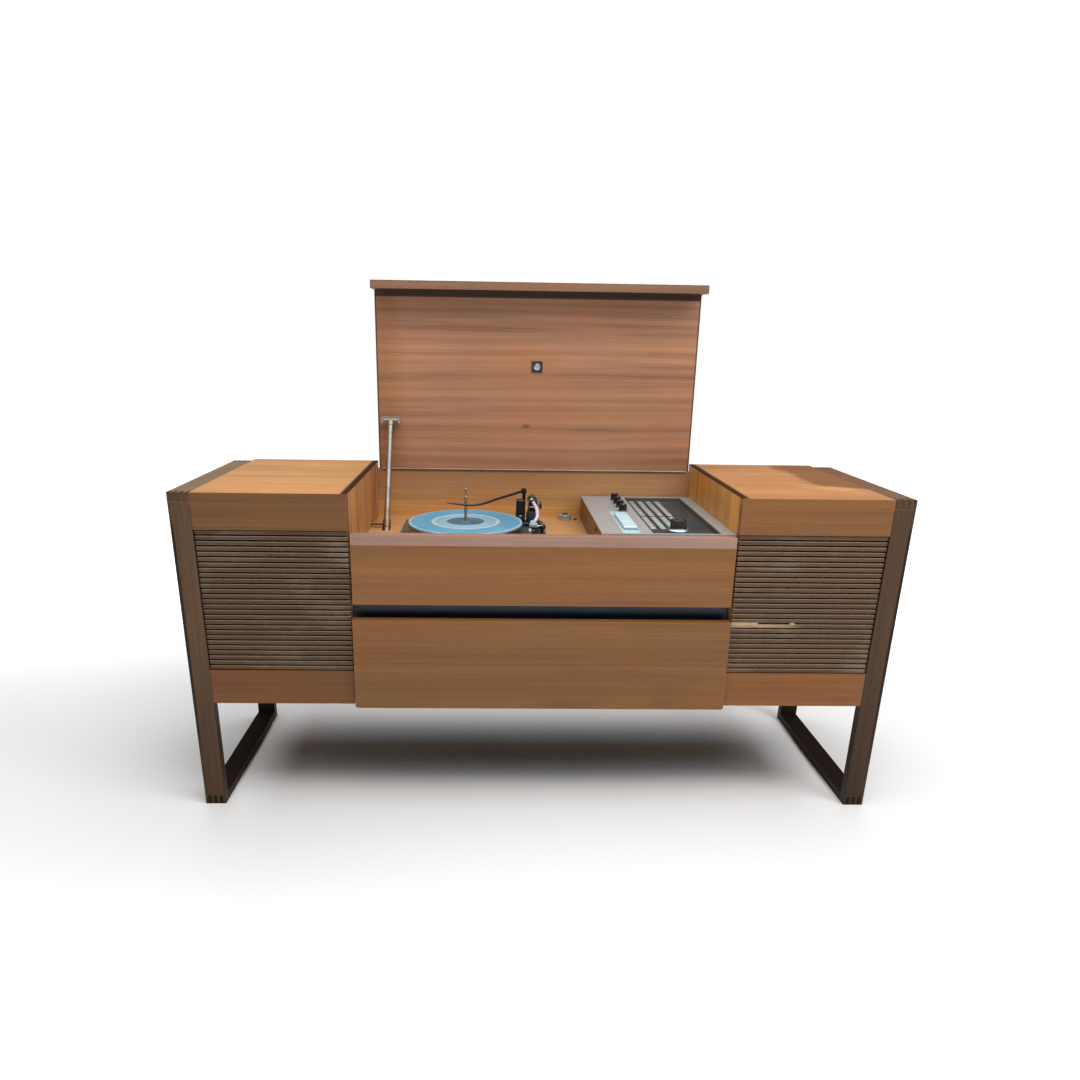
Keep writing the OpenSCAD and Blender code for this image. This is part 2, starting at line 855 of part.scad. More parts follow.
module turntable_motor() {
  can_top = deck_z + 2;
  can_height = 67;
  color([0.45, 0.46, 0.48]) from_front()
    translate([motor_x, motor_y, 0]) {
      translate([0, 0, can_top - can_height]) cylinder(h = can_height + past, r = 36);
      translate([0, 0, can_top]) cylinder(h = plate_low - can_top, r = 46);
      translate([0, 0, plate_low - 1]) cylinder(h = 12, r = 3);
      translate([0, 0, plate_top + 3]) cylinder(h = 14, r = 7);
    }
}

module record_adapter() {
  color([0.74, 0.74, 0.75]) from_front()
    translate([adapter_x, adapter_y, deck_z])
      rotate_extrude()
        polygon([[3.8, 0], [19, 0], [19, 3], [17.5, 4], [17.5, 12], [16, 14], [9, 14], [9, 11], [3.8, 11]]);
}

// ---- tuner ----

module tuner_case() {
  color([0.42, 0.26, 0.15]) from_front()
    difference() {
      block([tuner_left, tuner_front, deck_z], [tuner_right, tuner_back, tuner_low]);
      block([tuner_left + tuner_wall, tuner_front + tuner_wall / 2, deck_z - past],
            [tuner_right - tuner_wall, tuner_back - tuner_wall, tuner_top]);
      translate([tuner_left - past, 130, tuner_top - 16]) rotate([0, 90, 0]) cylinder(h = 6, r = 5);
    }
}

module tuner_plate() {
  low = tuner_low - past;
  high = tuner_top + past;
  color([0.66, 0.62, 0.57]) from_front()
    difference() {
      block([tuner_left, tuner_front, tuner_low], [tuner_right, tuner_back, tuner_top]);
      block([dial_left, dial_front, low], [dial_right, dial_back, high]);
      block([key_left, key_front, low], [key_left + key_width, key_front + key_count * key_pitch, high]);
      for (k = [0 : 3])
        translate([control_x, control_first + k * control_pitch, low])
          cylinder(h = high - low, r = control_shaft + running);
    }
}

module dial_glass() {
  color([0.10, 0.11, 0.12, 0.5]) from_front()
    difference() {
      block([dial_left + loose, dial_front + loose, tuner_low],
            [dial_right - loose, dial_back - loose, tuner_top]);
      translate([tuning_x, tuning_y, tuner_low - past])
        cylinder(h = tuner_sheet + 2 * past, r = tuning_shaft + 2);
    }
}

module dial_tray() {
  low = tuner_low - tray_depth;
  color([0.10, 0.10, 0.10]) from_front()
    difference() {
      union() {
        difference() {
          block([dial_left - 2, dial_front - 2, low], [dial_right + 2, dial_back + 2, tuner_low]);
          block([dial_left + 3, dial_front + 3, low + 3], [dial_right - 3, dial_back - 3, tuner_top]);
        }
        for (k = [0 : scale_count - 1])
          translate([strip_first + k * strip_pitch, 0, low])
            block([0, strip_near, 2], [strip_width, strip_far, 4]);
      }
      translate([tuning_x, tuning_y, low - past]) cylinder(h = tray_depth, r = tuning_shaft + running);
    }
}

module dial_pointer() {
  low = tuner_low - tray_depth + 4.6;
  mid = (strip_near + strip_far) / 2;
  color([0.80, 0.12, 0.08]) from_front()
    block([strip_first - 4, mid - 1, low], [strip_first + scale_count * strip_pitch, mid + 1, low + 1.5]);
}

module tuning_knob() {
  r = tuning_knob_size / 2;
  shaft = tuner_sheet + tray_depth + 4;
  color([0.10, 0.10, 0.11]) from_front()
    translate([tuning_x, tuning_y, tuner_top]) {
      translate([0, 0, -shaft]) cylinder(h = shaft + 1, r = tuning_shaft);
      rotate_extrude()
        polygon([
          [0, loose], [tuning_skirt, loose], [tuning_skirt, 2], [tuning_skirt - 3, 5],
          [r, 6], [r - 1, 24], [r - 3, 26], [0, 26]
        ]);
    }
}

// One control knob, counted from the front
module control(k) {
  r = control_knob / 2;
  color([0.06, 0.06, 0.06]) from_front()
    translate([control_x, control_first + k * control_pitch, tuner_top])
      difference() {
        union() {
          translate([0, 0, -tuner_sheet - 6]) cylinder(h = tuner_sheet + 7, r = control_shaft);
          rotate_extrude()
            polygon([[0, loose], [r + 2, loose], [r + 2, 2], [r, 4], [r - 1, 17], [r - 2, 18], [0, 18]]);
        }
        block([-0.6, 2, 17], [0.6, r + 3, 20]);
      }
}

module volume_knob() { control(0); }
module bass_knob() { control(1); }
module treble_knob() { control(2); }
module balance_knob() { control(3); }

// One push key, counted from the front
module push_key(k) {
  near = key_front + k * key_pitch + key_gap;
  far = near + key_pitch - 2 * key_gap;
  low = tuner_top - 1;
  color([0.80, 0.80, 0.81]) from_front() {
    along_x(key_left + key_gap, key_left + key_width - key_gap)
      polygon([[near, low], [far, low], [far, low + 10], [near + 6, low + 9], [near, low + 6]]);
    block([key_left + 10, near + 16, low - 22], [key_left + 22, near + 28, low + 1]);
  }
}

module key_power() { push_key(0); }
module key_radio() { push_key(1); }
module key_phono() { push_key(2); }

module amplifier_chassis() {
  sheet = 2;
  flange = 20;
  transformer = 70;
  far = back_y + back_sheet;
  color([0.60, 0.61, 0.62]) from_front() {
    difference() {
      block([chassis_left, chassis_front, chassis_low], [chassis_right, chassis_back, deck_low]);
      block([chassis_left + sheet, chassis_front + sheet, chassis_low + sheet],
            [chassis_right - sheet, chassis_back - sheet, deck_low + past]);
    }
    block([chassis_left, chassis_front - flange, deck_low - sheet], [chassis_right, chassis_front + 1, deck_low]);
    translate([chassis_left + 30, chassis_front + 30, chassis_low + 1])
      block([0, 0, 0], [transformer, transformer, 61]);
    translate([inlet_x, 0, inlet_z]) {
      difference() {
        union() {
          block([-inlet_width / 2 + 2, back_y - 24, 1], [inlet_width / 2 - 2, far, inlet_height - 1]);
          block([-inlet_width / 2 - 5, far, -6], [inlet_width / 2 + 5, body_depth, inlet_height + 6]);
        }
        block([-15, back_y - 10, 4], [15, body_depth + past, inlet_height - 4]);
      }
      block([-8, back_y - 24, inlet_height - 10], [8, back_y - 22, chassis_low + 1 - inlet_z]);
    }
  }
}

left_frame_posts();
left_frame_rails();
right_frame_posts();
right_frame_rails();
left_box_top();
right_box_top();
left_box_carcass();
right_box_carcass();
left_box_front();
right_box_front();
left_grille_slats();
right_grille_slats();
left_baffle();
right_baffle();
left_speaker();
right_speaker();
back_panels();
well_sides();
centre_bottom();
back_wall();
deck_board();
front_rail();
upper_front_panel();
finger_channel();
lid_panel();
lid_apron();
lid_badge();
hinge_lid_leaf();
hinge_wall_leaf();
stay_lid_bracket();
stay_tube();
stay_guide();
drawer_front();
drawer_box();
turntable_plate();
platter();
platter_mat();
spindle();
overarm();
tonearm_base();
tonearm_yoke();
tonearm();
start_lever();
turntable_motor();
record_adapter();
tuner_case();
tuner_plate();
dial_glass();
dial_tray();
dial_pointer();
tuning_knob();
volume_knob();
bass_knob();
treble_knob();
balance_knob();
key_power();
key_radio();
key_phono();
amplifier_chassis();
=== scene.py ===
"""Looks of a long low music cabinet with canted sled frames, a lidded well, a record player and a tuner."""
import math

import bmesh
import bpy
from bpy.props import FloatProperty, FloatVectorProperty, IntProperty, PointerProperty
from mathutils import Matrix, Vector


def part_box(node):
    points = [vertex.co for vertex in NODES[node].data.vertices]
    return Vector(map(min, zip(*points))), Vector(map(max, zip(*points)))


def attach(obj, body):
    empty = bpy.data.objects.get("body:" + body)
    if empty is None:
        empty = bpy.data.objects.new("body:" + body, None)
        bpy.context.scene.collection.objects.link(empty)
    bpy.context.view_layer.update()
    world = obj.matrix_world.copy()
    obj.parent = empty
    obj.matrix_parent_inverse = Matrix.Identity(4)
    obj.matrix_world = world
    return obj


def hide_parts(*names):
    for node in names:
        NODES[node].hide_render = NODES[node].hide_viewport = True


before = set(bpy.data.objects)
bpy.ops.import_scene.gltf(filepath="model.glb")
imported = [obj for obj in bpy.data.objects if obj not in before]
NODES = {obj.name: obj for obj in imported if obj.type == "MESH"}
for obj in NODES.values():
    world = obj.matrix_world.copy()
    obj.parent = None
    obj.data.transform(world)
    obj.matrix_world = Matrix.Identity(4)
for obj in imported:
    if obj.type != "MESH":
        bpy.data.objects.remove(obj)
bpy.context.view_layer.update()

bl_info = {
    "name": "Music cabinet looks",
    "version": (1, 0, 0),
    "blender": (4, 5, 0),
    "location": "3D View > Sidebar > Cabinet",
    "description": "Finishes and small fittings of a veneered music cabinet",
    "category": "Object",
}

MILLIMETRE = 0.001
WHITE = (1.0, 1.0, 1.0, 1.0)
MERGE_WITHIN = 1e-7
WELD_WITHIN = 1e-5
# How these shader nodes are set here, and where the colours go in and out of a Mix node
USUAL = {"Mix": {"data_type": "RGBA"}, "MapRange": {"interpolation_type": "SMOOTHSTEP"}}
COLOUR_INPUTS, COLOUR_OUTPUT = (0, 6, 7), 2
NO_SEED = (0.0, 0.0, 0.0)
TEAK_SHADOW, TEAK_GOLD = "614B38", "73501D"
STAY_FOOT, STAY_CROWN = Vector((-0.401, 0.0702, 0.6063)), Vector((-0.401, 0.2266, 0.8791))
STRIP_WIDTH, STRIP_PITCH, TICK_PITCH = 0.013, 0.0235, 0.0085
KNOB_HEIGHT, TUNING_KNOB_HEIGHT = 0.018, 0.026
KNOT_ACROSS, KNOT_UP = -0.028, 0.121
PHOTO_SIZE, SENSOR = 1080.0, 36.0


def mm(value):
    """Millimetres to metres."""
    return value * MILLIMETRE


def linear(code):
    """Turns an sRGB hex colour such as 8A6038 into linear red, green and blue."""
    parts = [int(code[k:k + 2], 16) / 255 for k in (0, 2, 4)]
    return tuple(p / 12.92 if p <= 0.04045 else ((p + 0.055) / 1.055) ** 2.4 for p in parts)


def rgba(shade, *factors):
    """A linear colour with full cover, made lighter or darker by one factor or by one for each part."""
    each = factors if len(factors) == 3 else (factors or (1.0,)) * 3
    return (*(min(1.0, part * factor) for part, factor in zip(shade, each)), 1.0)


def blend_of(a, b, share):
    """A colour part of the way from a to b."""
    return tuple(p + (q - p) * share for p, q in zip(a, b))


def colour(name, description, code):
    """A colour setting whose default is an sRGB hex value."""
    return FloatVectorProperty(
        name=name, description=description, subtype="COLOR", size=3, min=0.0, max=1.0, default=linear(code)
    )


def power(name, description, watts):
    """A setting for the power of a light."""
    return FloatProperty(name=name, description=description, default=watts, min=0.0, subtype="POWER")


# ---- settings that a user would change ----


class CabinetWoods(bpy.types.PropertyGroup):
    """Colours of the veneers and the solid woods"""

    front: colour("Front veneer", "Teak veneer of the fronts", "7C5229")
    top: colour("Top veneer", "Sun-bleached teak veneer of the box tops", "C58A57")
    lid: colour("Lid veneer", "Figured teak veneer inside the lid", "A07354")
    well: colour("Well veneer", "Teak veneer of the deck and the walls of the well", "B88C5C")
    walnut: colour("Frame walnut", "Dark oiled walnut of the sled frames", "57402D")
    lipping: colour("Lipping", "Solid lipping of the front rail and the lid apron", "907263")
    slat: colour("Slats", "Dusty stained slats of the grilles", "5E4534")
    filler: colour("Filler", "Pale filler in the mended slat", "B09574")
    birch: colour("Birch plywood", "Drawer box", "CDA878")
    board: colour("Hardboard", "Thin back panels", "6B4A33")


class PlayerFinish(bpy.types.PropertyGroup):
    """Colours and sizes of the record player"""

    mat: colour("Mat rubber", "Moulded rubber mat of the platter", "4B8AA6")
    mat_rib_pitch: FloatProperty(
        name="Rib pitch", description="Distance between two ribs of the mat",
        default=0.0035, min=0.001, subtype="DISTANCE",
    )


class TunerFinish(bpy.types.PropertyGroup):
    """Colours and sizes of the tuner"""

    fascia: colour("Fascia", "Brushed anodised aluminium of the fascia", "ACAFAF")
    scale: colour("Scale strips", "Printed strips of the tuning scale", "EFF0EE")
    knob_flutes: IntProperty(
        name="Knob flutes", description="Number of flutes round one control knob", default=24, min=8, max=48
    )


class StudioStage(bpy.types.PropertyGroup):
    """Floor, light and camera"""

    floor: colour("Floor", "Plain pale floor", "EEEEEE")
    sky: FloatProperty(
        name="Sky light", description="Strength of the even light all round", default=0.07, min=0.0
    )
    top_light: power("Top light", "Power of the soft light overhead", 150.0)
    front_light: power("Front light", "Power of the soft light high in front", 32.0)
    side_light: power("Side light", "Power of the soft light at the right", 26.0)


def settings(context):
    """The four groups of settings."""
    scene = context.scene
    return scene.cabinet_woods, scene.cabinet_player, scene.cabinet_tuner, scene.cabinet_stage


# ---- shader helpers ----


class Wire:
    """What comes out of a shader node. Arithmetic with it adds Math nodes."""

    def __init__(self, node, output=0):
        self.node = node
        self.output = output

    def __add__(self, other):
        return add("Math", self, other, operation="ADD")

    def __sub__(self, other):
        return add("Math", self, other, operation="SUBTRACT")

    def __rsub__(self, other):
        return add("Math", other, self, operation="SUBTRACT")

    def __mul__(self, other):
        return add("Math", self, other, operation="MULTIPLY")

    def __truediv__(self, other):
        return add("Math", self, other, operation="DIVIDE")

    def __gt__(self, other):
        return add("Math", self, other, operation="GREATER_THAN")

    def __lt__(self, other):
        return add("Math", self, other, operation="LESS_THAN")

    def __abs__(self):
        return add("Math", self, operation="ABSOLUTE")


def feed(node, feeds):
    """Puts values or wires on the inputs of a node."""
    for key, value in feeds.items():
        if isinstance(value, Wire):
            node.id_data.links.new(value.node.outputs[value.output], node.inputs[key])
        else:
            node.inputs[key].default_value = value


def add(kind, *inputs, tree=None, output=0, feeds=None, stops=(), **options):
    """Adds one shader node with its settings and links, and gives the wire that comes out of it.
    Values and wires go to its inputs in order, and feeds puts others on inputs by name. stops are a ramp's.
    Without a tree, it joins the node of its first wire."""
    ports = COLOUR_INPUTS if kind == "Mix" else range(len(inputs))
    feeds = {**dict(zip(ports, inputs)), **(feeds or {})}
    tree = tree or next(value.node.id_data for value in feeds.values() if isinstance(value, Wire))
    node = tree.nodes.new("ShaderNode" + kind)
    for name, value in {**USUAL.get(kind, {}), **options}.items():
        setattr(node, name, value)
    for k, (place, shade) in enumerate(stops):
        ramp = node.color_ramp.elements
        stop = ramp[k] if k < len(ramp) else ramp.new(place)
        stop.position = place
        stop.color = shade
    feed(node, feeds)
    return Wire(node, COLOUR_OUTPUT if kind == "Mix" else output)


def distance(a, b):
    """How far a point is from the middle, from its two distances along the axes."""
    return add("Math", a * a + b * b, operation="SQRT")


def between(value, low, high):
    """1 where a value lies between two limits, and 0 outside them."""
    return (value > low) * (value < high)


def speckle(spot, scale, seed=NO_SEED, detail=2.0, roughness=0.5, distortion=0.0):
    """Noise, scaled evenly by one number or apart on each axis by three."""
    scale = scale if isinstance(scale, tuple) else (scale,) * 3
    laid = add("Mapping", feeds={"Vector": spot, "Location": seed, "Scale": scale})
    how = {"Scale": 1.0, "Detail": detail, "Roughness": roughness, "Distortion": distortion}
    return add("TexNoise", laid, feeds=how)


def cleared(owner):
    """The emptied node tree of a material or a world."""
    owner.use_nodes = True
    owner.node_tree.nodes.clear()
    return owner.node_tree


class Skin:
    """A material in the making: one principled shader, and where each point lies on the object."""

    def __init__(self, name):
        self.material = bpy.data.materials.new(name)
        self.tree = cleared(self.material)
        shader = add("BsdfPrincipled", tree=self.tree)
        add("OutputMaterial", shader)
        self.shader = shader.node
        self.spot = add("TexCoord", tree=self.tree, output="Object")
        split = add("SeparateXYZ", self.spot)
        self.x, self.y, self.z = (Wire(split.node, k) for k in range(3))

    def noise(self, *how):
        """Noise on the object's own coordinates."""
        return speckle(self.spot, *how)

    def facing(self, axis):
        """How far the surface faces along one axis, from -1 to 1."""
        normal = add("NewGeometry", tree=self.tree, output="Normal")
        return add("SeparateXYZ", normal, output=axis)

    def done(self, height, depth, strength, **inputs):
        """Feeds the shader and raises the surface by a height pattern, whose depth is in millimetres."""
        feed(self.shader, {name.replace("_", " "): value for name, value in inputs.items()})
        bump = add("Bump", feeds={"Height": height, "Strength": strength, "Distance": mm(depth)})
        feed(self.shader, {"Normal": bump})
        return self.material


# ---- wood ----


def edge_nearness(sides, reach, ragged):
    """1 on the arrises of a board and 0 further in than its reach.
    Each side is (coordinate, low, high), in metres; the noise makes the edge marks ragged: wear on most
    boards, painted shade on the sled frames."""
    near = [add("Math", value - low, high - value, operation="MINIMUM") for value, low, high in sides]
    smaller = add("Math", near[0], near[1], operation="MINIMUM")
    larger = add("Math", near[0], near[1], operation="MAXIMUM")
    second = add("Math", smaller, add("Math", larger, near[2], operation="MINIMUM"), operation="MAXIMUM")
    return add("MapRange", second - ragged * reach, -reach * 0.5, reach * 0.35, 1.0, 0.0)


def wood(name, base, grain, seed, bands=0.5, figure=0.0, contrast=1.0, sheen=0.42, coat=0.06, gloss=0.28,
         pores=0.5, box=None, wear=0.35, rub=None, lean=0.0, end_grain=False, extra=None):
    """Sliced or sawn wood. Bands 20 to 60 mm wide, streaks of 10 mm, fibres 2 to 4 mm and pores 0.6 mm wide
    run with the grain. Pores are drawn about twice their real width, so that they show in the picture.
    figure is the pitch of wavy rings; box is the (low, high) corner pair of the board, for the marks along
    its edges; rub is their colour: paler wear on most boards, painted shade on the arrises of the sled
    frames;
    lean is a sled frame's slope; extra adds the marks of one board."""
    skin = Skin(name)
    shift = (seed * 3.1, seed * 1.7, seed * 2.3)

    def run(along, across, detail, roughness, distortion=0.0, start=shift):
        scale = tuple(along if axis == grain else across for axis in "XYZ")
        return skin.noise(scale, start, detail, roughness, distortion)

    tone = run(0.4, 21.0, 2.0, 0.55, 0.1) * bands + (0.5 - bands / 2)
    streak = run(0.75, 92.0, 2.5, 0.62, 0.05)
    fibre = run(2.4, 330.0, 2.5, 0.6)
    fine = run(16.0, 1300.0, 2.0, 0.6)
    cloud = run(2.6, 7.5, 3.0, 0.55)
    if figure:
        rings = run(0.55, 6.5, 2.0, 0.5, 0.2, (seed + 4.0,) * 3) * 4.0 + skin.z / figure
        for turns, weight in ((2.0, 0.07), (6.6, 0.03)):
            tone = add("Math", rings * (turns * math.pi), operation="SINE") * weight + tone
    weights = (0.40 * contrast, 0.52 * contrast, 0.22 * contrast, 0.36)
    for layer, weight in zip((streak, fibre, fine, cloud), weights):
        tone = (layer - 0.5) * weight + tone
    warm = blend_of(base, rgba(base, 1.1, 0.95, 0.78), 0.6)
    stops = [
        (0.12, rgba(warm, 0.50)), (0.38, rgba(base, 0.82)), (0.58, rgba(base, 1.04)), (0.88, rgba(warm, 1.34))
    ]
    shade = add("ValToRGB", tone, stops=stops)
    blush = run(3.0, 5.0, 2.0, 0.5, 0.0, (seed * 5.3, seed, 2.0))
    shade = add("Mix", add("MapRange", blush, 0.44, 0.74, 0.0, 0.34), shade, rgba(base, 1.16, 0.84, 0.62))
    open_pore = add("MapRange", run(75.0, 1500.0, 1.0, 0.4), 0.62, 0.72)
    shade = add("Mix", open_pore * (0.55 * pores), shade, rgba(base, 0.34))
    if end_grain:
        year = add("MapRange", skin.noise(260.0, shift, 2.0, 0.7), 0.4, 0.62)
        cut = add("Mix", year, rgba(base, 0.42), rgba(base, 0.78))
        shade = add("Mix", add("MapRange", abs(skin.facing("XYZ".index(grain))), 0.6, 0.8), shade, cut)
    if box is not None:
        across = skin.z * -lean + abs(skin.x) if lean else skin.x
        sides = list(zip((across, skin.y, skin.z), *box))
        # The edges take the rub colour: paler wear on most boards, painted shade where it is dark, as on the
        # sled frames
        worn = edge_nearness(sides, mm(3.2), skin.noise(28.0, shift, 3.0, 0.6))
        shade = add("Mix", worn * wear, shade, rub or rgba(base, 1.55, 1.15, 0.9))
    if extra:
        shade = extra(skin, shade)
    feed(skin.shader, {"IOR": 1.48, "Coat Weight": coat, "Coat Roughness": 0.22, "Specular IOR Level": gloss})
    rough = (fibre + cloud) * 0.16 + (sheen - 0.16)
    return skin.done(open_pore * -0.8 + fibre * 0.5, 0.12, 0.5, Base_Color=shade, Roughness=rough)


def dress(finish, *names):
    """Gives CAD pieces their finish."""
    for name in names:
        NODES[name].material_slots[0].material = finish


def veneer(piece, name, base, grain, seed, worn_edges=True, **how):
    """Gives one CAD piece a wood of its own, worn along the edges of its box unless told otherwise."""
    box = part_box(piece) if worn_edges else None
    dress(wood(name, base, grain, seed, box=box, **how), piece)


def soften(width, *names):
    """Rounds the arrises of CAD pieces a little, so that they catch the light as real edges do."""
    for name in names:
        weld = NODES[name].modifiers.new("weld", "WELD")
        weld.merge_threshold = WELD_WITHIN
        bevel = NODES[name].modifiers.new("arris", "BEVEL")
        bevel.width = mm(width)
        bevel.segments = 2
        bevel.limit_method = "ANGLE"
        bevel.angle_limit = math.radians(35)
        bevel.use_clamp_overlap = True


# ---- metals, plastics and the rest ----


def chrome(name, code, dull):
    """Plated and polished metal. Bright and clear, with hair scratches, a slight haze and tiny pits."""
    skin = Skin(name)
    base = linear(code)
    hair = skin.noise((900.0, 900.0, 60.0), (1.0, 2.0, 3.0), 2.0, 0.6)
    haze = skin.noise(38.0, (4.0, 1.0, 2.0), 3.0, 0.6)
    rough = add("MapRange", hair, 0.6, 0.75) * 0.07 + (haze * 0.16 + (dull - 0.04))
    shade = add("Mix", add("MapRange", haze, 0.45, 0.8), rgba(base), rgba(base, 0.72))
    return skin.done(hair, 0.01, 0.15, Base_Color=shade, Metallic=1.0, Roughness=rough)


def dull_metal(name, code, rough, scale, seed):
    """Rolled, brushed or turned metal. Fine lines run one way, with darker handling marks over them."""
    skin = Skin(name)
    base = linear(code)
    line = skin.noise(scale, (seed, seed * 2, seed * 3), 3.0, 0.65)
    mark = skin.noise(17.0, (seed, 0.0, seed), 4.0, 0.6)
    shade = add("Mix", line, rgba(base, 0.84), rgba(base, 1.12))
    shade = add("Mix", add("MapRange", mark, 0.5, 0.75) * 0.35, shade, rgba(base, 0.55))
    dull = (line + mark) * 0.16 + (rough - 0.16)
    return skin.done(line, 0.03, 0.4, Base_Color=shade, Metallic=1.0, Roughness=dull)


def black_enamel(name, code, rough, dust=0.25):
    """Stove enamel on sheet steel. Slight orange peel, dust on what faces up, and paler worn spots."""
    skin = Skin(name)
    base = linear(code)
    cloud = skin.noise(21.0, (2.0, 5.0, 1.0), 4.0, 0.6)
    lying = add("MapRange", skin.facing(2), 0.3, 0.95) * add("MapRange", cloud, 0.3, 0.8)
    shade = add("Mix", cloud, rgba(base, 0.8), rgba(base, 1.35))
    shade = add("Mix", lying * dust, shade, rgba(linear("8C8880")))
    peel = skin.noise(420.0, (1.0, 1.0, 1.0), 1.0)
    return skin.done(peel, 0.03, 0.3, Base_Color=shade, Roughness=cloud * 0.22 + (rough - 0.08))


def moulded(name, code, rough, grit=700.0, dust=0.2):
    """Moulded plastic or phenolic. Even colour with a fine mould texture, and rubbed shinier in places."""
    skin = Skin(name)
    base = linear(code)
    rub = skin.noise(60.0, (1.0, 5.0, 9.0), 3.0, 0.6)
    dusty = rgba(blend_of(base, linear("A09A92"), 0.35))
    shade = add("Mix", add("MapRange", rub, 0.4, 0.7) * dust, rgba(base), dusty)
    grain = skin.noise(grit, (3.0, 1.0, 4.0))
    return skin.done(grain, 0.03, 0.35, Base_Color=shade, Roughness=rub * 0.25 + (rough - 0.12))


# ---- modelling helpers ----


def only(piece):
    """Selects one object and nothing else."""
    bpy.ops.object.select_all(action="DESELECT")
    piece.select_set(True)
    bpy.context.view_layer.objects.active = piece


def named(piece, name):
    """Names an object and its mesh."""
    piece.name = piece.data.name = name
    return piece


def set_in_place(piece, place=None):
    """Moves a piece and bakes its place into its mesh."""
    if place is not None:
        piece.matrix_world = place @ piece.matrix_world
    bpy.ops.object.transform_apply(location=True, rotation=True, scale=True)


def begin(kind, name, **how):
    """Adds a mesh primitive with nothing else selected, names it, and opens it for editing."""
    bpy.ops.object.select_all(action="DESELECT")
    getattr(bpy.ops.mesh, "primitive_" + kind + "_add")(**how)
    bpy.ops.object.mode_set(mode="EDIT")
    return named(bpy.context.object, name)


def reopen(piece):
    """Opens a finished piece for editing, with all of it selected."""
    only(piece)
    bpy.ops.object.mode_set(mode="EDIT")
    bpy.ops.mesh.select_all(action="SELECT")


def pick(piece, kind, test):
    """Selects the vertices or faces whose place and normal pass a test, and nothing else."""
    bpy.ops.mesh.select_mode(type=kind)
    bpy.ops.mesh.select_all(action="DESELECT")
    mesh = bmesh.from_edit_mesh(piece.data)
    for vertex in mesh.verts if kind == "VERT" else ():
        vertex.select = test(vertex.co, vertex.normal)
    for face in mesh.faces if kind == "FACE" else ():
        face.select = test(face.calc_center_median(), face.normal)
    mesh.select_flush_mode()
    bmesh.update_edit_mesh(piece.data)


def close_edit(piece, place=None, smooth=30.0):
    """Makes the faces point outwards, bakes the piece's place into its mesh and shades it."""
    bpy.ops.mesh.select_all(action="SELECT")
    bpy.ops.mesh.remove_doubles(threshold=MERGE_WITHIN)
    bpy.ops.mesh.normals_make_consistent(inside=False)
    bpy.ops.object.mode_set(mode="OBJECT")
    set_in_place(piece, place)
    bpy.ops.object.shade_smooth_by_angle(angle=math.radians(smooth))
    return piece


def cut_by(piece, cutter):
    """Cuts the shape of another piece out of this one, and takes the cutter away."""
    bpy.context.view_layer.objects.active = piece
    tool = piece.modifiers.new("boolean", "BOOLEAN")
    tool.object, tool.operation, tool.solver = cutter, "DIFFERENCE", "EXACT"
    bpy.ops.object.modifier_apply(modifier=tool.name)
    bpy.data.objects.remove(cutter)


def hang(piece, body, finish, stands_for=()):
    """Gives a finished piece its material and hangs it on the body it moves with."""
    piece.data.materials.clear()
    piece.data.materials.append(finish)
    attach(piece, body)
    if stands_for:
        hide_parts(*stands_for)
    return piece


def at(x, y, z, turn=None):
    """A place, with an optional (angle in degrees, axis) turn."""
    made = Matrix.Translation((x, y, z))
    return made @ Matrix.Rotation(math.radians(turn[0]), 4, turn[1]) if turn else made


def turned(name, profile, place, segments=64, smooth=30.0, shape=None):
    """Lathe work: a disc is extruded ring by ring along (radius, height) steps in millimetres, then set in
    place. shape may reshape the open mesh before it is closed."""
    radius, height = profile[0]
    piece = begin(
        "circle", name, vertices=segments, radius=mm(radius), fill_type="NGON", location=(0, 0, mm(height))
    )
    for (radius, height), (next_radius, next_height) in zip(profile, profile[1:]):
        bpy.ops.mesh.extrude_region_move(TRANSFORM_OT_translate={"value": (0, 0, mm(next_height - height))})
        grow = next_radius / radius
        bpy.ops.transform.resize(value=(grow, grow, 1.0), center_override=(0, 0, mm(next_height)))
    if shape:
        shape(piece, mm(profile[0][1]))
    return close_edit(piece, place, smooth)


def copied(piece, name, shift, body):
    """A copy of a piece with its own mesh, moved to another place and hung on its body."""
    only(piece)
    bpy.ops.object.duplicate(linked=False)
    twin = bpy.context.object
    twin.parent = None
    twin.matrix_world = Matrix.Translation(shift)
    set_in_place(twin)
    for key in list(twin.keys()):
        if key.startswith("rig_"):
            del twin[key]
    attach(named(twin, name), body)
    return twin


def at_corners(first, name, across, deep):
    """Copies a screw to the three other corners of a plate."""
    for k, (a, b) in enumerate(((1, 0), (0, 1), (1, 1)), start=2):
        copied(first, f"{name}_{k}", (across * a, deep * b, 0), "cabinet")


def slab(name, low, high, rounding=0.4, segments=2):
    """A block between two corners in metres, with its arrises rounded by a bevel."""
    size = [b - a for a, b in zip(low, high)]
    middle = [(a + b) / 2 for a, b in zip(low, high)]
    piece = begin("cube", name, size=1.0, location=middle, scale=size)
    bpy.ops.object.mode_set(mode="OBJECT")
    set_in_place(piece)
    reopen(piece)
    bpy.ops.mesh.bevel(offset=mm(rounding), segments=segments, affect="EDGES")
    return close_edit(piece)


def rod(name, points, radii, sides=24):
    """A bent rod: a smooth curve through points in millimetres, with its own radius at each."""
    bpy.ops.object.select_all(action="DESELECT")
    bpy.ops.curve.primitive_bezier_curve_add()
    path = bpy.context.object.data
    spline = path.splines[0]
    spline.bezier_points.add(len(points) - 2)
    for point, spot, radius in zip(spline.bezier_points, points, radii):
        point.co = Vector(spot) * MILLIMETRE
        point.radius = radius
        point.handle_left_type = point.handle_right_type = "AUTO"
    path.dimensions = "3D"
    path.bevel_depth = MILLIMETRE
    path.bevel_resolution = sides // 4
    path.resolution_u = 16
    path.use_fill_caps = True
    bpy.ops.object.convert(target="MESH")
    piece = named(bpy.context.object, name)
    bpy.ops.object.mode_set(mode="EDIT")
    return close_edit(piece, None, 40.0)


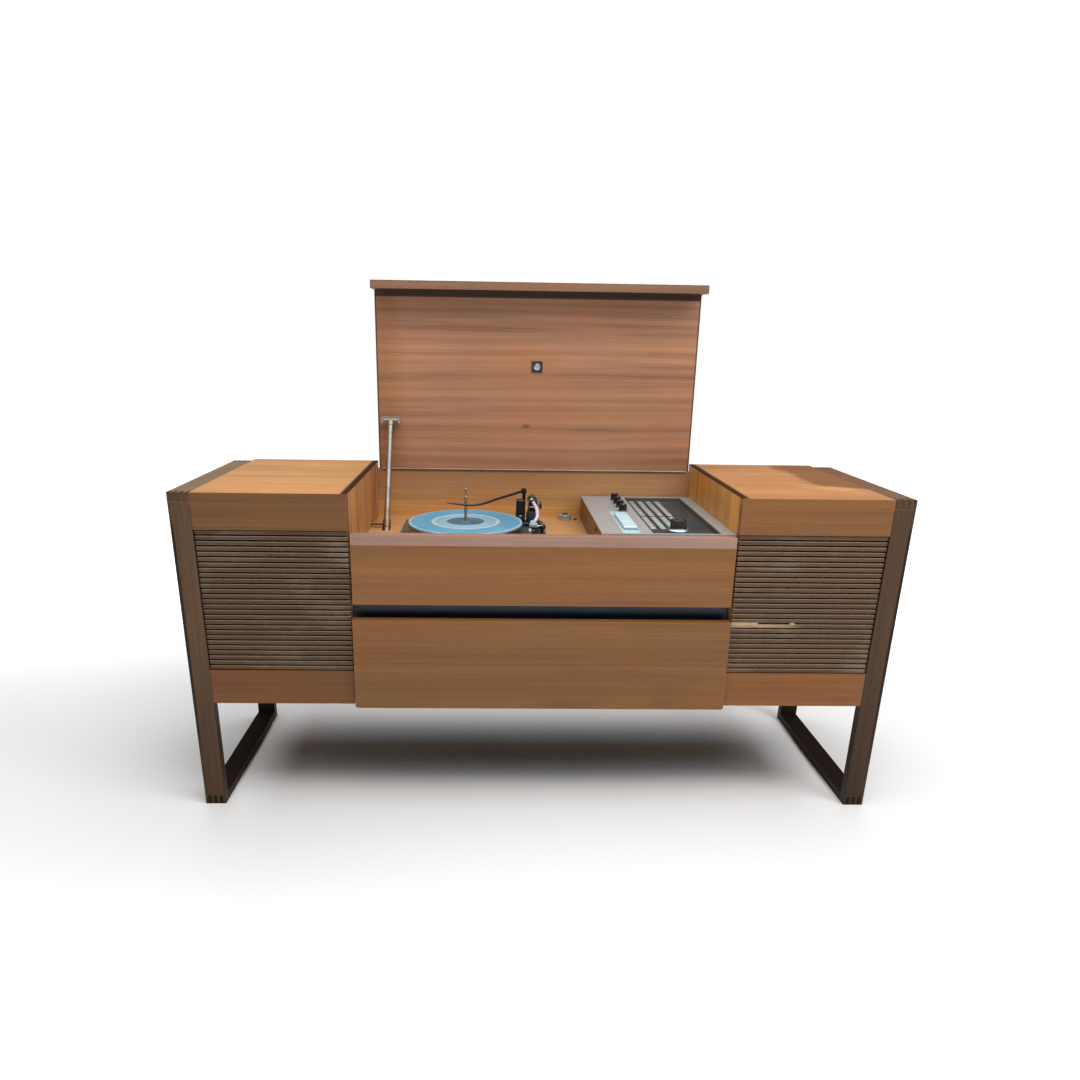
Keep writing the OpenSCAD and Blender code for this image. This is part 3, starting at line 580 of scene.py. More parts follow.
def fluted(count, low, high, depth):
    """Presses flutes into the rings of a turned piece that lie between two heights in millimetres."""
    step = 2 * math.pi / count

    def press(piece, base):
        def in_flute(spot, _normal):
            turn = (math.atan2(spot.y, spot.x) + step / 8) % step
            return mm(low) - 1e-6 <= spot.z + base <= mm(high) + 1e-6 and turn >= step / 2

        pick(piece, "VERT", in_flute)
        bpy.ops.transform.resize(value=(1 - depth, 1 - depth, 1.0), center_override=(0, 0, 0))

    return press


def screw(name, place, radius):
    """A slotted raised-head screw: a turned dome with its slot cut out."""
    dome = [(radius * 0.98, 0.0), (radius, 0.25), (radius * 0.86, 0.85), (radius * 0.55, 1.2), (0.08, 1.32)]
    piece = turned(name, dome, Matrix(), 32)
    reach = mm(radius * 1.3)
    cut_by(piece, slab("slot_cutter", (-reach, -mm(0.32), mm(0.6)), (reach, mm(0.32), mm(2)), 0.02))
    only(piece)
    set_in_place(piece, place)
    return piece


def plate_top():
    """Height of the turntable plate's face: the tonearm base stands on it."""
    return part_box("tonearm_base")[0].z


# ---- the cabinet ----


class CABINET_OT_frames(bpy.types.Operator):
    """Walnut finish of the two sled frames, with end grain at their finger joints"""

    bl_idname = "cabinet.frames"
    bl_label = "Sled frames"

    def execute(self, context):
        walnut = settings(context)[0].walnut
        low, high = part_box("right_frame_posts")
        on_floor = [v.co.x for v in NODES["right_frame_posts"].data.vertices if v.co.z < 1e-4]
        inner, outer = min(on_floor), max(on_floor)
        lean = (high.x - outer) / high.z
        board = min(v.co.z for v in NODES["right_frame_rails"].data.vertices if v.co.z > 0.001)
        box = (inner, low.y, low.z), (outer, high.y, high.z)
        common = {"sheen": 0.50, "coat": 0.0, "lean": lean, "box": box}
        # bleached lightens what faces up on the upper rails: painted light from above
        for side, sign, seed, tone, bleached in (
            ("left", -1, 3.0, 1.08, (2.2, 2.8, 3.5, 1.0)), ("right", 1, 8.0, 0.69, (1.55, 1.5, 1.8, 1.0)),
        ):
            def joints_and_painted_shade(skin, shade):
                # Inner and back faces, and the front faces of the rear posts, are painted nearly black:
                # painted shade
                inward = add("MapRange", skin.facing(0) * sign, 0.1, -0.6)
                back = add("MapRange", skin.facing(1), 0.2, 0.7)
                rear = add("MapRange", skin.facing(1), -0.2, -0.7) * (skin.y > (low.y + high.y) / 2)
                behind = add("Math", back, rear, operation="MAXIMUM")
                painted_shade_mask = add("Math", inward, behind, operation="MAXIMUM")
                shade = add("Mix", painted_shade_mask * 0.88, shade, rgba(walnut, 0.10))
                # The outer arris, worn round, is painted black between the foot and the top joint: painted
                # shade along it
                ragged = skin.noise((8.0, 8.0, 14.0), (1.0, 0.0, 6.0), 3.0, 0.6)
                inset = ragged * mm(2.0) + (skin.z * lean + outer - abs(skin.x))
                above = add("MapRange", skin.z, high.z - 0.09, high.z - 0.055, 1.0, 0.15)
                arris_shade_span = add("MapRange", skin.z, 0.08, 0.22, 0.25, 0.95) * above
                shade = add("Mix", add("MapRange", inset, mm(9.5), mm(7.0)) * arris_shade_span, shade, rgba(walnut, 0.10))
                # A pale line of old glue at the shoulder of each finger joint, and darker feet
                upper = between(skin.z, high.z - board - mm(0.9), high.z - board + mm(0.4))
                lower = between(skin.z, board - mm(0.4), board + mm(0.7))
                shade = add("Mix", (upper + lower) * 0.6, shade, rgba(walnut, 2.2))
                foot = add("MapRange", skin.z, high.z * 0.62, high.z * 0.2, 0.0, 0.30)
                return add("Mix", foot, shade, rgba(walnut, 0.42))

            def toned_by_height(skin, shade):
                # What faces up on the upper rails is painted lighter, as painted light from above; the floor
                # rails are painted dark, as painted shade
                upper = skin.z > high.z * 0.6
                lit = add("MapRange", skin.facing(2), 0.5, 0.9) * upper
                shade = add("Mix", lit, shade, bleached, blend_type="MULTIPLY")
                return add("Mix", 1.0 - upper, shade, (0.17, 0.16, 0.16, 1.0), blend_type="MULTIPLY")

            # Posts and rails get a dark edge colour: painted shade on their arrises
            posts = wood(
                f"oiled_walnut_sawn_posts_{side}", rgba(walnut, tone), "Z", seed, bands=0.7, contrast=1.8,
                wear=0.55, rub=rgba(walnut, 0.30), gloss=0.20, end_grain=True, extra=joints_and_painted_shade, **common,
            )
            rails = wood(
                f"oiled_walnut_sawn_rails_{side}", walnut, "Y", seed + 1.0, bands=0.6, contrast=1.4, wear=0.7,
                rub=rgba(walnut, 0.2), gloss=0.12, extra=toned_by_height, **common,
            )
            dress(posts, f"{side}_frame_posts")
            dress(rails, f"{side}_frame_rails")
            soften(0.8, f"{side}_frame_posts", f"{side}_frame_rails")
        return {"FINISHED"}


class CABINET_OT_boxes(bpy.types.Operator):
    """Teak veneer of the speaker boxes, the fronts, the drawer and the rail"""

    bl_idname = "cabinet.boxes"
    bl_label = "Boxes and fronts"

    def execute(self, context):
        woods = settings(context)[0]
        left_top, right_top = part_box("left_box_top"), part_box("right_box_top")

        def dark_well_edge(skin, shade, limit):
            # The arris beside the well is darkened nearly black
            near = add("MapRange", abs(skin.x), limit + mm(5.5), limit + mm(1.5))
            return add("Mix", near * 0.8, shade, rgba(woods.walnut, 0.30))

        def stain_and_painted_glint(skin, shade):
            # The back right of this top stayed dark under something; the pale streak in front of it is a
            # painted highlight, a glint
            shift = skin.noise(13.0, (5.0, 2.0, 0.0), 4.0, 0.65) * mm(70) - mm(35)
            across = skin.x + shift
            slope = 0.55
            deep = skin.x * slope + (skin.y - shift)
            front = right_top[0].y + 0.165 + slope * 0.70
            dark = add("MapRange", across, 0.655, 0.695) * add("MapRange", deep, front, front + 0.03)
            shade = add("Mix", dark * 0.72, shade, rgba(woods.front, 0.74, 0.62, 0.48))
            side = add("MapRange", across, 0.705, 0.765) * add("MapRange", deep, front + 0.02, front - 0.01)
            shade = add("Mix", side * 0.5, shade, rgba(blend_of(woods.top, woods.lid, 0.7), 0.95))
            band = add("MapRange", deep, front - 0.075, front - 0.03)
            band = band * add("MapRange", deep, front + 0.012, front - 0.008)
            band = band * add("MapRange", across, 0.59, 0.66) * add("MapRange", across, 0.775, 0.735)
            # A pale streak across the top: painted highlight
            streak = add("MapRange", skin.noise((9.0, 60.0, 1.0), (1.0, 9.0, 0.0), 3.0, 0.6), 0.3, 0.6)
            shade = add("Mix", streak * band * 0.55, shade, rgba(woods.top, 1.20, 1.50, 1.35))
            return dark_well_edge(skin, shade, right_top[0].x)

        def two_leaves(skin, shade):
            # Two leaves of veneer meet in the middle of this top, the inner one a little yellower
            inner = skin.x > left_top[0].x * 0.55 + left_top[1].x * 0.45
            shade = add("Mix", inner, shade, (1.04, 1.06, 1.0, 1.0), blend_type="MULTIPLY")
            return dark_well_edge(skin, shade, -left_top[1].x)

        def toned_by_height(skin, shade):
            # Grime and rub marks from hands and shoes gather towards the lower edge
            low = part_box("drawer_front")[0].z
            smear = skin.noise((5.0, 5.0, 22.0), (2.0, 0.0, 7.0), 3.0, 0.6)
            grime = add("MapRange", smear, 0.45, 0.7) * add("MapRange", skin.z, low, low + 0.16, 0.5, 0.12)
            return add("Mix", grime, shade, rgba(woods.front, 0.66))

        def shielded(skin, shade):
            # Below the grille the veneer kept more of its red
            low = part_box("left_grille_slats")[0].z
            below = add("MapRange", skin.z, low + 0.02, low)
            return add("Mix", below, shade, (1.07, 0.96, 0.80, 1.0), blend_type="MULTIPLY")

        for name, seed, base, marks in (
            ("upper_front_panel", 1.0, woods.front, None),
            ("drawer_front", 2.0, blend_of(woods.front, linear(TEAK_GOLD), 0.24), toned_by_height),
        ):
            veneer(
                name, f"teak_veneer_sliced_{name}", base, "X", seed, bands=0.45, contrast=1.2, wear=0.4,
                extra=marks,
            )
        # The left fascia's darker tone is partly its own and partly painted shade, as more light falls from
        # the right
        for side, seed, tone, sun, marks in (
            ("left", 4.0, 0.67, (1.0, 1.10, 1.16), two_leaves), ("right", 6.0, 0.95, (0.86,), stain_and_painted_glint),
        ):
            front, top, case = f"{side}_box_front", f"{side}_box_top", f"{side}_box_carcass"
            veneer(
                front, f"teak_veneer_sliced_fascia_{side}", rgba(woods.front, tone), "X", seed, bands=0.45,
                contrast=1.15, wear=0.4, extra=shielded,
            )
            veneer(
                top, f"teak_veneer_bleached_top_{side}", rgba(woods.top, *sun), "X", seed + 0.5, bands=0.4,
                contrast=0.7, pores=0.4, sheen=0.34, coat=0.30, gloss=0.5, wear=0.2, extra=marks,
            )
            shady = blend_of(woods.front, linear(TEAK_SHADOW), 0.25)
            veneer(case, f"teak_veneer_sliced_case_{side}", shady, "Z", seed + 0.8, worn_edges=False)
            soften(0.6, front, top, case)
        veneer(
            "front_rail", "teak_lipping_planed_rail", woods.lipping, "X", 9.0, bands=0.35, contrast=0.7,
            sheen=0.40, coat=0.3, wear=0.45,
        )
        veneer(
            "centre_bottom", "softwood_board_planed_bottom", rgba(woods.front, 0.5), "X", 9.6, False,
            contrast=0.7, coat=0.0, sheen=0.6,
        )
        soften(0.6, "upper_front_panel", "drawer_front", "front_rail", "centre_bottom")
        return {"FINISHED"}


class CABINET_OT_well(bpy.types.Operator):
    """Teak veneer of the well: its side walls, back wall and deck"""

    bl_idname = "cabinet.well"
    bl_label = "Well"

    def execute(self, context):
        woods = settings(context)[0]
        wall_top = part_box("back_wall")[1].z
        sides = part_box("well_sides")

        def reddened(skin, shade):
            # The upper part of the back wall is browner than the part that the lid kept in shade
            level = skin.noise((4.0, 4.0, 30.0), (1.0, 2.0, 3.0), 3.0, 0.6) * 0.05 + skin.z
            brown = add("MapRange", level, wall_top - 0.075, wall_top - 0.005, 0.0, 0.6)
            shade = add("Mix", brown, shade, rgba(woods.lid, 0.98))
            low = add("MapRange", level, wall_top - 0.05, wall_top - 0.12, 0.0, 0.7)
            return add("Mix", low, shade, rgba(woods.well, 1.16, 0.98, 0.62))

        def dark_edge(skin, shade):
            # The left wall is redder, in streaks, and the upper edge of each wall is darkened nearly black
            left = skin.x < 0.0
            shade = add("Mix", left * 0.5, shade, rgba(blend_of(woods.well, woods.lid, 0.8), 0.80))
            stripe = add("MapRange", skin.noise((1.0, 26.0, 1.2), (3.0, 0.0, 0.0), 3.0, 0.6), 0.48, 0.6)
            shade = add("Mix", left * 0.6 * stripe, shade, rgba(woods.lid, 0.62, 0.62, 0.95))
            front = add("MapRange", skin.y, sides[0].y + mm(30), sides[0].y + mm(16))
            shade = add("Mix", front * 0.5, shade, rgba(woods.walnut, 0.8))
            top = add("MapRange", skin.z, sides[1].z - mm(3.5), sides[1].z - mm(1.0))
            return add("Mix", top, shade, rgba(woods.walnut, 0.34, 0.24, 0.16))

        veneer(
            "back_wall", "teak_veneer_sliced_back_wall", woods.well, "X", 12.0, False, bands=0.9,
            contrast=1.7, extra=reddened,
        )
        veneer(
            "well_sides", "teak_veneer_sliced_well_sides", rgba(woods.well, 1.38, 1.16, 0.74), "Z", 13.0,
            False, bands=0.9, contrast=1.2, coat=0.0, gloss=0.12, extra=dark_edge,
        )
        veneer(
            "deck_board", "teak_veneer_sliced_deck", woods.well, "X", 14.0, bands=0.4, contrast=0.7,
            pores=0.3, coat=0.2,
        )
        soften(0.4, "back_wall", "well_sides", "deck_board")
        return {"FINISHED"}


class CABINET_OT_lid(bpy.types.Operator):
    """Figured veneer, lipping, hinge and plain badge of the lid"""

    bl_idname = "cabinet.lid"
    bl_label = "Lid"

    def execute(self, context):
        woods = settings(context)[0]
        low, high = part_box("lid_panel")
        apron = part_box("lid_apron")

        def knot_and_painted_shade(skin, shade):
            # One small dark pin knot on the inner face
            inside = skin.y < (low.y + high.y) / 2
            away = distance((skin.x - KNOT_ACROSS) * 0.45, skin.z - (low.z + KNOT_UP))
            knot = add("MapRange", away, mm(2.0), mm(8.0), 0.75, 0.0) * inside
            shade = add("Mix", knot, shade, rgba(woods.lid, 0.28))
            # It is painted darker and bluer towards the apron: painted shade
            upper = add("MapRange", skin.z, low.z + 0.25, high.z - 0.03) * 0.85
            shade = add("Mix", upper, shade, (0.94, 0.97, 1.16, 1.0), blend_type="MULTIPLY")
            # The left border is more golden, and both side edges are darkened
            border = add("MapRange", skin.x, -0.345, -0.42) * inside
            shade = add("Mix", border, shade, (0.84, 0.78, 0.66, 1.0), blend_type="MULTIPLY")
            edge = add("MapRange", abs(skin.x), high.x - mm(5.5), high.x - mm(3))
            shade = add("Mix", edge * 0.8, shade, rgba(woods.walnut, 0.32))
            # The strip in the corner under the apron is painted nearly black: painted shade
            corner = add("MapRange", skin.z, high.z - mm(37.5), high.z - mm(35)) * inside
            return add("Mix", corner * 0.9, shade, rgba(woods.walnut, 0.28, 0.18, 0.13))

        def shaded(skin, shade):
            # The underside, which is the inside of the closed lid's front, and the batten in the corner are
            # painted dark: painted shade
            under = add("MapRange", skin.facing(2), -0.2, -0.7)
            painted_shade_mask = add("Math", under, skin.z < apron[1].z - mm(20.5), operation="MAXIMUM")
            return add("Mix", painted_shade_mask * 0.94, shade, rgba(woods.walnut, 0.20))

        veneer(
            "lid_panel", "teak_veneer_figured_lid", woods.lid, "X", 21.0, bands=0.75, figure=0.030,
            sheen=0.40, coat=0.2, wear=0.25, extra=knot_and_painted_shade,
        )
        # Its arrises take a dark edge colour, not paler wear
        veneer(
            "lid_apron", "teak_lipping_planed_apron", rgba(woods.lipping, 0.78, 0.68, 0.52), "X", 22.0,
            contrast=1.2, coat=0.1, wear=0.75, rub=rgba(woods.walnut, 0.35), extra=shaded,
        )
        soften(0.5, "lid_panel", "lid_apron")
        dress(
            dull_metal("steel_rolled_hinge", "A5907C", 0.6, (4.0, 300.0, 300.0), 3.0),
            "hinge_lid_leaf", "hinge_wall_leaf",
        )
        dress(black_enamel("steel_enamelled_badge", "23262B", 0.35), "lid_badge")
        low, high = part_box("lid_badge")
        disc = turned(
            "badge_disc", [(8.4, 0.0), (8.4, 0.7), (7.6, 1.1), (6.0, 1.1), (5.6, 0.7), (0.4, 0.7)],
            at((low.x + high.x) / 2, high.y - mm(1.4), (low.z + high.z) / 2, (90, "X")), 48,
        )
        hang(disc, "lid", chrome("nickel_plated_disc", "C9CED2", 0.22))
        return {"FINISHED"}


class CABINET_OT_grilles(bpy.types.Operator):
    """Dusty slats over a black board, with the mended slat of the right grille"""

    bl_idname = "cabinet.grilles"
    bl_label = "Grilles"

    def execute(self, context):
        woods = settings(context)[0]
        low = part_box("right_grille_slats")[0]
        heights = sorted({round(v.co.z, 5) for v in NODES["right_grille_slats"].data.vertices})
        slat, pitch = heights[1] - heights[0], heights[2] - heights[0]
        mended = low.z + 9 * pitch
        for side, seed, tone in (("left", 31.0, 0.68), ("right", 33.0, 0.93)):
            def dusty(skin, shade):
                # Each slat has its own tone, dust lies on it in clouds, and the edges are rubbed paler
                turn = add("Math", (skin.z - (low.z - (pitch - slat) / 2)) / pitch, operation="FLOOR")
                own = add("TexWhiteNoise", feeds={"W": turn}, noise_dimensions="1D", output="Value")
                shade = add("Mix", own * 0.42, shade, rgba(woods.slat, 0.55))
                cloud = add("MapRange", skin.noise((5.0, 5.0, 7.0), (3.0, 0.0, 1.0), 4.0, 0.6), 0.48, 0.72)
                shade = add("Mix", cloud * 0.45, shade, rgba(linear("85796A")))
                inside = turn * -pitch + (skin.z - low.z)
                rub = add("Math", abs(inside), abs(inside - slat), operation="MINIMUM")
                edge = add("MapRange", rub, 0.0, mm(1.8), 0.40, 0.0)
                shade = add("Mix", edge, shade, rgba(linear("A38A6E")))
                upward = add("MapRange", skin.facing(2), 0.4, 0.9, 0.0, 0.55)
                shade = add("Mix", upward, shade, rgba(linear("A89A86")))
                if side == "left":
                    return shade
                # The mended slat was sanded pale from the well side outwards
                end = skin.noise((30.0, 5.0, 90.0), (8.0, 1.0, 1.0)) * 0.07 + skin.x
                on_slat = between(skin.z, mended - mm(0.5), mended + slat + mm(0.5))
                bare = add("MapRange", end, 0.56, 0.66, 1.0, 0.0) * on_slat
                return add("Mix", bare * 0.7, shade, rgba(woods.filler))

            veneer(
                f"{side}_grille_slats", f"beech_slats_stained_{side}",
                rgba(woods.slat, tone, tone * 0.91, tone * 0.80), "X", seed, False,
                contrast=1.1, sheen=0.62, coat=0.0, extra=dusty,
            )
            soften(0.7, f"{side}_grille_slats")
        dress(black_enamel("softboard_stained_black", "1C1815", 0.75, 0.35), "left_baffle", "right_baffle")
        dress(black_enamel("lacquered_board_channel", "10263C", 0.42, 0.12), "finger_channel")
        dress(moulded("pressed_paper_cone_and_basket", "1A1A1C", 0.7), "left_speaker", "right_speaker")
        pale = wood(
            "wood_filler_trowelled", woods.filler, "X", 41.0, bands=0.7, contrast=1.2, sheen=0.7, coat=0.0,
            pores=0.2,
        )
        upper = mended + slat
        fill("grille_filler_main", (low.x, 0.507), (upper - mm(2.5), mended + pitch + mm(0.8)), low.y, pale)
        fill("grille_filler_chip", (0.583, 0.594), (upper - mm(1.0), mended + pitch + mm(0.4)), low.y, pale)
        return {"FINISHED"}


def fill(name, across, heights, front, finish):
    """A trowelled lump of filler between two slats, with an uneven face."""
    piece = slab(name, (across[0], front - mm(0.8), heights[0]), (across[1], front + mm(5), heights[1]), 0.8)
    reopen(piece)
    bpy.ops.mesh.subdivide(number_cuts=5)
    bpy.ops.transform.vertex_random(offset=mm(0.45), seed=3)
    close_edit(piece, None, 50.0)
    hang(piece, "cabinet", finish)


class CABINET_OT_stay(bpy.types.Operator):
    """Plated lid stay with its collar, its swivelling guide and its bracket with two screws"""

    bl_idname = "cabinet.stay"
    bl_label = "Lid stay"

    def execute(self, context):
        dress(chrome("steel_tube_chromed", "A0948A", 0.50), "stay_tube")
        dress(chrome("steel_pressed_plated", "C9D6D6", 0.30), "stay_lid_bracket")
        # The collar sits on the tube just under its cross head
        along = (STAY_CROWN - STAY_FOOT).normalized()
        tilt = along.to_track_quat("Z", "Y").to_matrix().to_4x4()
        place = Matrix.Translation(STAY_CROWN - along * mm(25)) @ tilt
        collar = turned(
            "stay_collar",
            [(7.8, 0.0), (9.4, 0.8), (9.8, 1.6), (9.8, 9.0), (9.2, 9.6), (9.2, 11.4), (9.8, 12.0),
             (9.8, 20.0), (8.8, 21.6), (7.2, 22.0)],
            place, 40,
        )
        steel = dull_metal("steel_collar_turned", "66736F", 0.42, (300.0, 300.0, 20.0), 6.0)
        hang(collar, "stay_tube", steel)
        dress(dull_metal("steel_pivot_plated", "8C7052", 0.46, (500.0, 500.0, 20.0), 5.0), "stay_guide")
        soften(0.3, "stay_lid_bracket")
        low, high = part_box("stay_lid_bracket")
        inset = mm(8)
        place = at(low.x + inset, high.y - mm(1.5), (low.z + high.z) / 2, (90, "X"))
        head = screw("stay_bracket_screw_1", place, 2.6)
        hang(head, "lid", chrome("steel_screw_plated", "BEBCB8", 0.2))
        copied(head, "stay_bracket_screw_2", (high.x - low.x - 2 * inset, 0, 0), "lid")
        return {"FINISHED"}


# ---- the record player ----


def ribs(outer, inner, pitch):
    """Profile steps of raised rings between two radii, from the outer one inwards."""
    steps = []
    while outer > inner + pitch:
        steps += [(outer, 3.9), (outer - pitch * 0.35, 3.45), (outer - pitch * 0.6, 3.45)]
        outer -= pitch
    return steps


def mat_rubber(base, middle, radius):
    """Moulded rubber in two blues. Matt with a soft sheen, a pale worn ring and a pale rubbed rim."""
    skin = Skin("rubber_moulded_ribbed_mat")
    dx, dy = skin.x - middle.x, skin.y - middle.y
    pale, deep = blend_of(base, linear("C4DDE4"), 0.45), rgba(base, 0.74)
    stops = [
        (0.0, rgba(blend_of(base, pale, 0.3))), (0.10, rgba(deep, 0.58)), (0.315, rgba(deep, 0.68)),
        (0.345, rgba(pale, 0.86)), (0.52, rgba(pale, 0.72)), (0.555, rgba(pale, 1.05)),
        (0.595, rgba(blend_of(pale, linear("C9C2AE"), 0.5))), (0.615, rgba(base, 0.95)),
        (0.95, rgba(base, 1.05)), (0.985, rgba(pale)),
    ]
    shade = add("ValToRGB", distance(dx, dy) / mm(radius), stops=stops)
    wear = skin.noise(22.0, (1.0, 3.0, 0.0), 4.0, 0.6)
    shade = add("Mix", add("MapRange", wear, 0.4, 0.7, 0.0, 0.35), shade, rgba(pale, 0.7))
    # The ribs spread the light in a fan, before and behind the spindle
    round_it = add("CombineXYZ", dy * -1.0, dx)
    grit = skin.noise(900.0, (0.0, 1.0, 0.0), 1.0)
    return skin.done(
        grit, 0.03, 0.3, Base_Color=shade, Roughness=wear * 0.25 + 0.2, Anisotropic=0.9, Tangent=round_it
    )


class CABINET_OT_player(bpy.types.Operator):
    """Plate, platter, ribbed mat, spindle and fittings of the record player"""

    bl_idname = "cabinet.player"
    bl_label = "Record player"

    def execute(self, context):
        player = settings(context)[1]
        plate = ("turntable_plate", "tonearm_base", "tonearm_yoke")
        dress(black_enamel("steel_plate_stove_enamelled", "2E3A3E", 0.34, 0.30), *plate)
        soften(0.6, *plate)
        dress(dull_metal("aluminium_cast_and_turned", "8E9296", 0.34, (300.0, 300.0, 1400.0), 7.0), "platter")
        soften(0.4, "platter")
        dress(chrome("steel_ground_spindle", "B4A288", 0.34), "spindle")
        zinc = dull_metal("steel_zinc_plated", "9A9C9C", 0.42, (200.0, 200.0, 30.0), 8.0)
        dress(zinc, "turntable_motor", "amplifier_chassis")
        low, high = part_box("platter_mat")
        middle = (low + high) / 2
        radius = (high.x - low.x) / 2 / MILLIMETRE
        ring_out, ring_in, label = radius * 0.60, radius * 0.55, radius * 0.33
        pitch = player.mat_rib_pitch / MILLIMETRE
        steps = [
            (radius, 0.0), (radius, 3.0), (radius - 0.8, 3.8), (radius - 3.0, 4.0),
            *ribs(radius - 6.0, ring_out, pitch),
            (ring_out + 0.6, 3.4), (ring_out, 4.0), (ring_in, 4.0), (ring_in - 0.6, 3.4),
            *ribs(ring_in - 3.0, label, pitch),
            (label + 0.6, 3.4), (label, 3.9), (label - 3.0, 3.9), (label - 3.6, 2.9), (7.0, 2.8),
        ]
        mat = turned("ribbed_mat", steps, at(middle.x, middle.y, low.z), 144)
        hang(mat, "platter", mat_rubber(player.mat, middle, radius), ("platter_mat",))
        low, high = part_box("turntable_plate")
        inset = mm(9)
        first = screw("plate_screw_1", at(low.x + inset, low.y + inset, plate_top(), (30, "Z")), 3.2)
        hang(first, "cabinet", chrome("steel_screw_plated_plate", "A8A7A4", 0.25))
        at_corners(first, "plate_screw", high.x - low.x - 2 * inset, high.y - low.y - 2 * inset)
        # The adapter's grey is darker than the pale dish: partly painted shade
        dress(moulded("polystyrene_moulded_adapter", "8C8984", 0.3), "record_adapter")
        low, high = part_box("record_adapter")
        middle = (low + high) / 2
        core = turned(
            "adapter_core",
            [(9.6, 0.0), (9.6, 1.4), (8.8, 2.4), (6.6, 2.6), (4.0, 2.6), (3.6, 1.0), (0.3, 0.8)],
            at(middle.x, middle.y, high.z - mm(1.2)), 40,
        )
        hang(core, "record_adapter", moulded("rubber_moulded_core", "15161A", 0.5))
        stop = turned(
            "deck_stop_button", [(5.2, 0.0), (5.2, 2.2), (4.4, 3.4), (2.8, 3.9), (0.3, 4.0)],
            at(high.x + mm(10), middle.y - mm(8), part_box("deck_board")[1].z), 32,
        )
        hang(stop, "cabinet", moulded("rubber_moulded_stop", "1A1613", 0.55))
        return {"FINISHED"}


class CABINET_OT_arms(bpy.types.Operator):
    """Overarm, tonearm with its head shell and weight, and the start lever"""

    bl_idname = "cabinet.arms"
    bl_label = "Arms"

    def execute(self, context):
        dark = black_enamel("steel_rod_enamelled", "120F0E", 0.30, 0.1)
        low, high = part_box("overarm")
        column = turned(
            "overarm_column",
            [(8.0, 0.0), (8.0, 6.4), (7.2, 7.6), (4.6, 8.0), (4.4, 12.0), (4.3, 80.0), (6.6, 81.0),
             (7.0, 82.0), (7.0, 92.6), (6.2, 94.0), (0.3, 94.2)],
            at(high.x - mm(8), high.y - mm(8), plate_top()), 40,
        )
        hang(column, "overarm", dark, ("overarm",))
        post_x, post_y, top = high.x / MILLIMETRE - 8, high.y / MILLIMETRE - 8, high.z / MILLIMETRE - 6
        tail_x, tail_y = low.x / MILLIMETRE + 4.5, low.y / MILLIMETRE + 4.5
        arm = rod(
            "overarm_rod",
            [(post_x, post_y, top), (post_x - 66, post_y - 66, top - 8.5),
             (post_x - 128, post_y - 128, top - 14.5), (tail_x + 26, tail_y + 10, top - 9.5),
             (tail_x, tail_y, top - 4.0)],
            [3.6, 3.3, 2.9, 2.3, 1.4],
        )
        hang(arm, "overarm", dark)
        black = black_enamel("steel_block_enamelled", "17181B", 0.30, 0.12)
        ivory = moulded("phenolic_moulded_ivory", "D9CFA6", 0.34)
        tonearm(black, ivory)
        plate_fittings(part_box("tonearm_yoke")[0], black, ivory)
        start_lever()
        return {"FINISHED"}


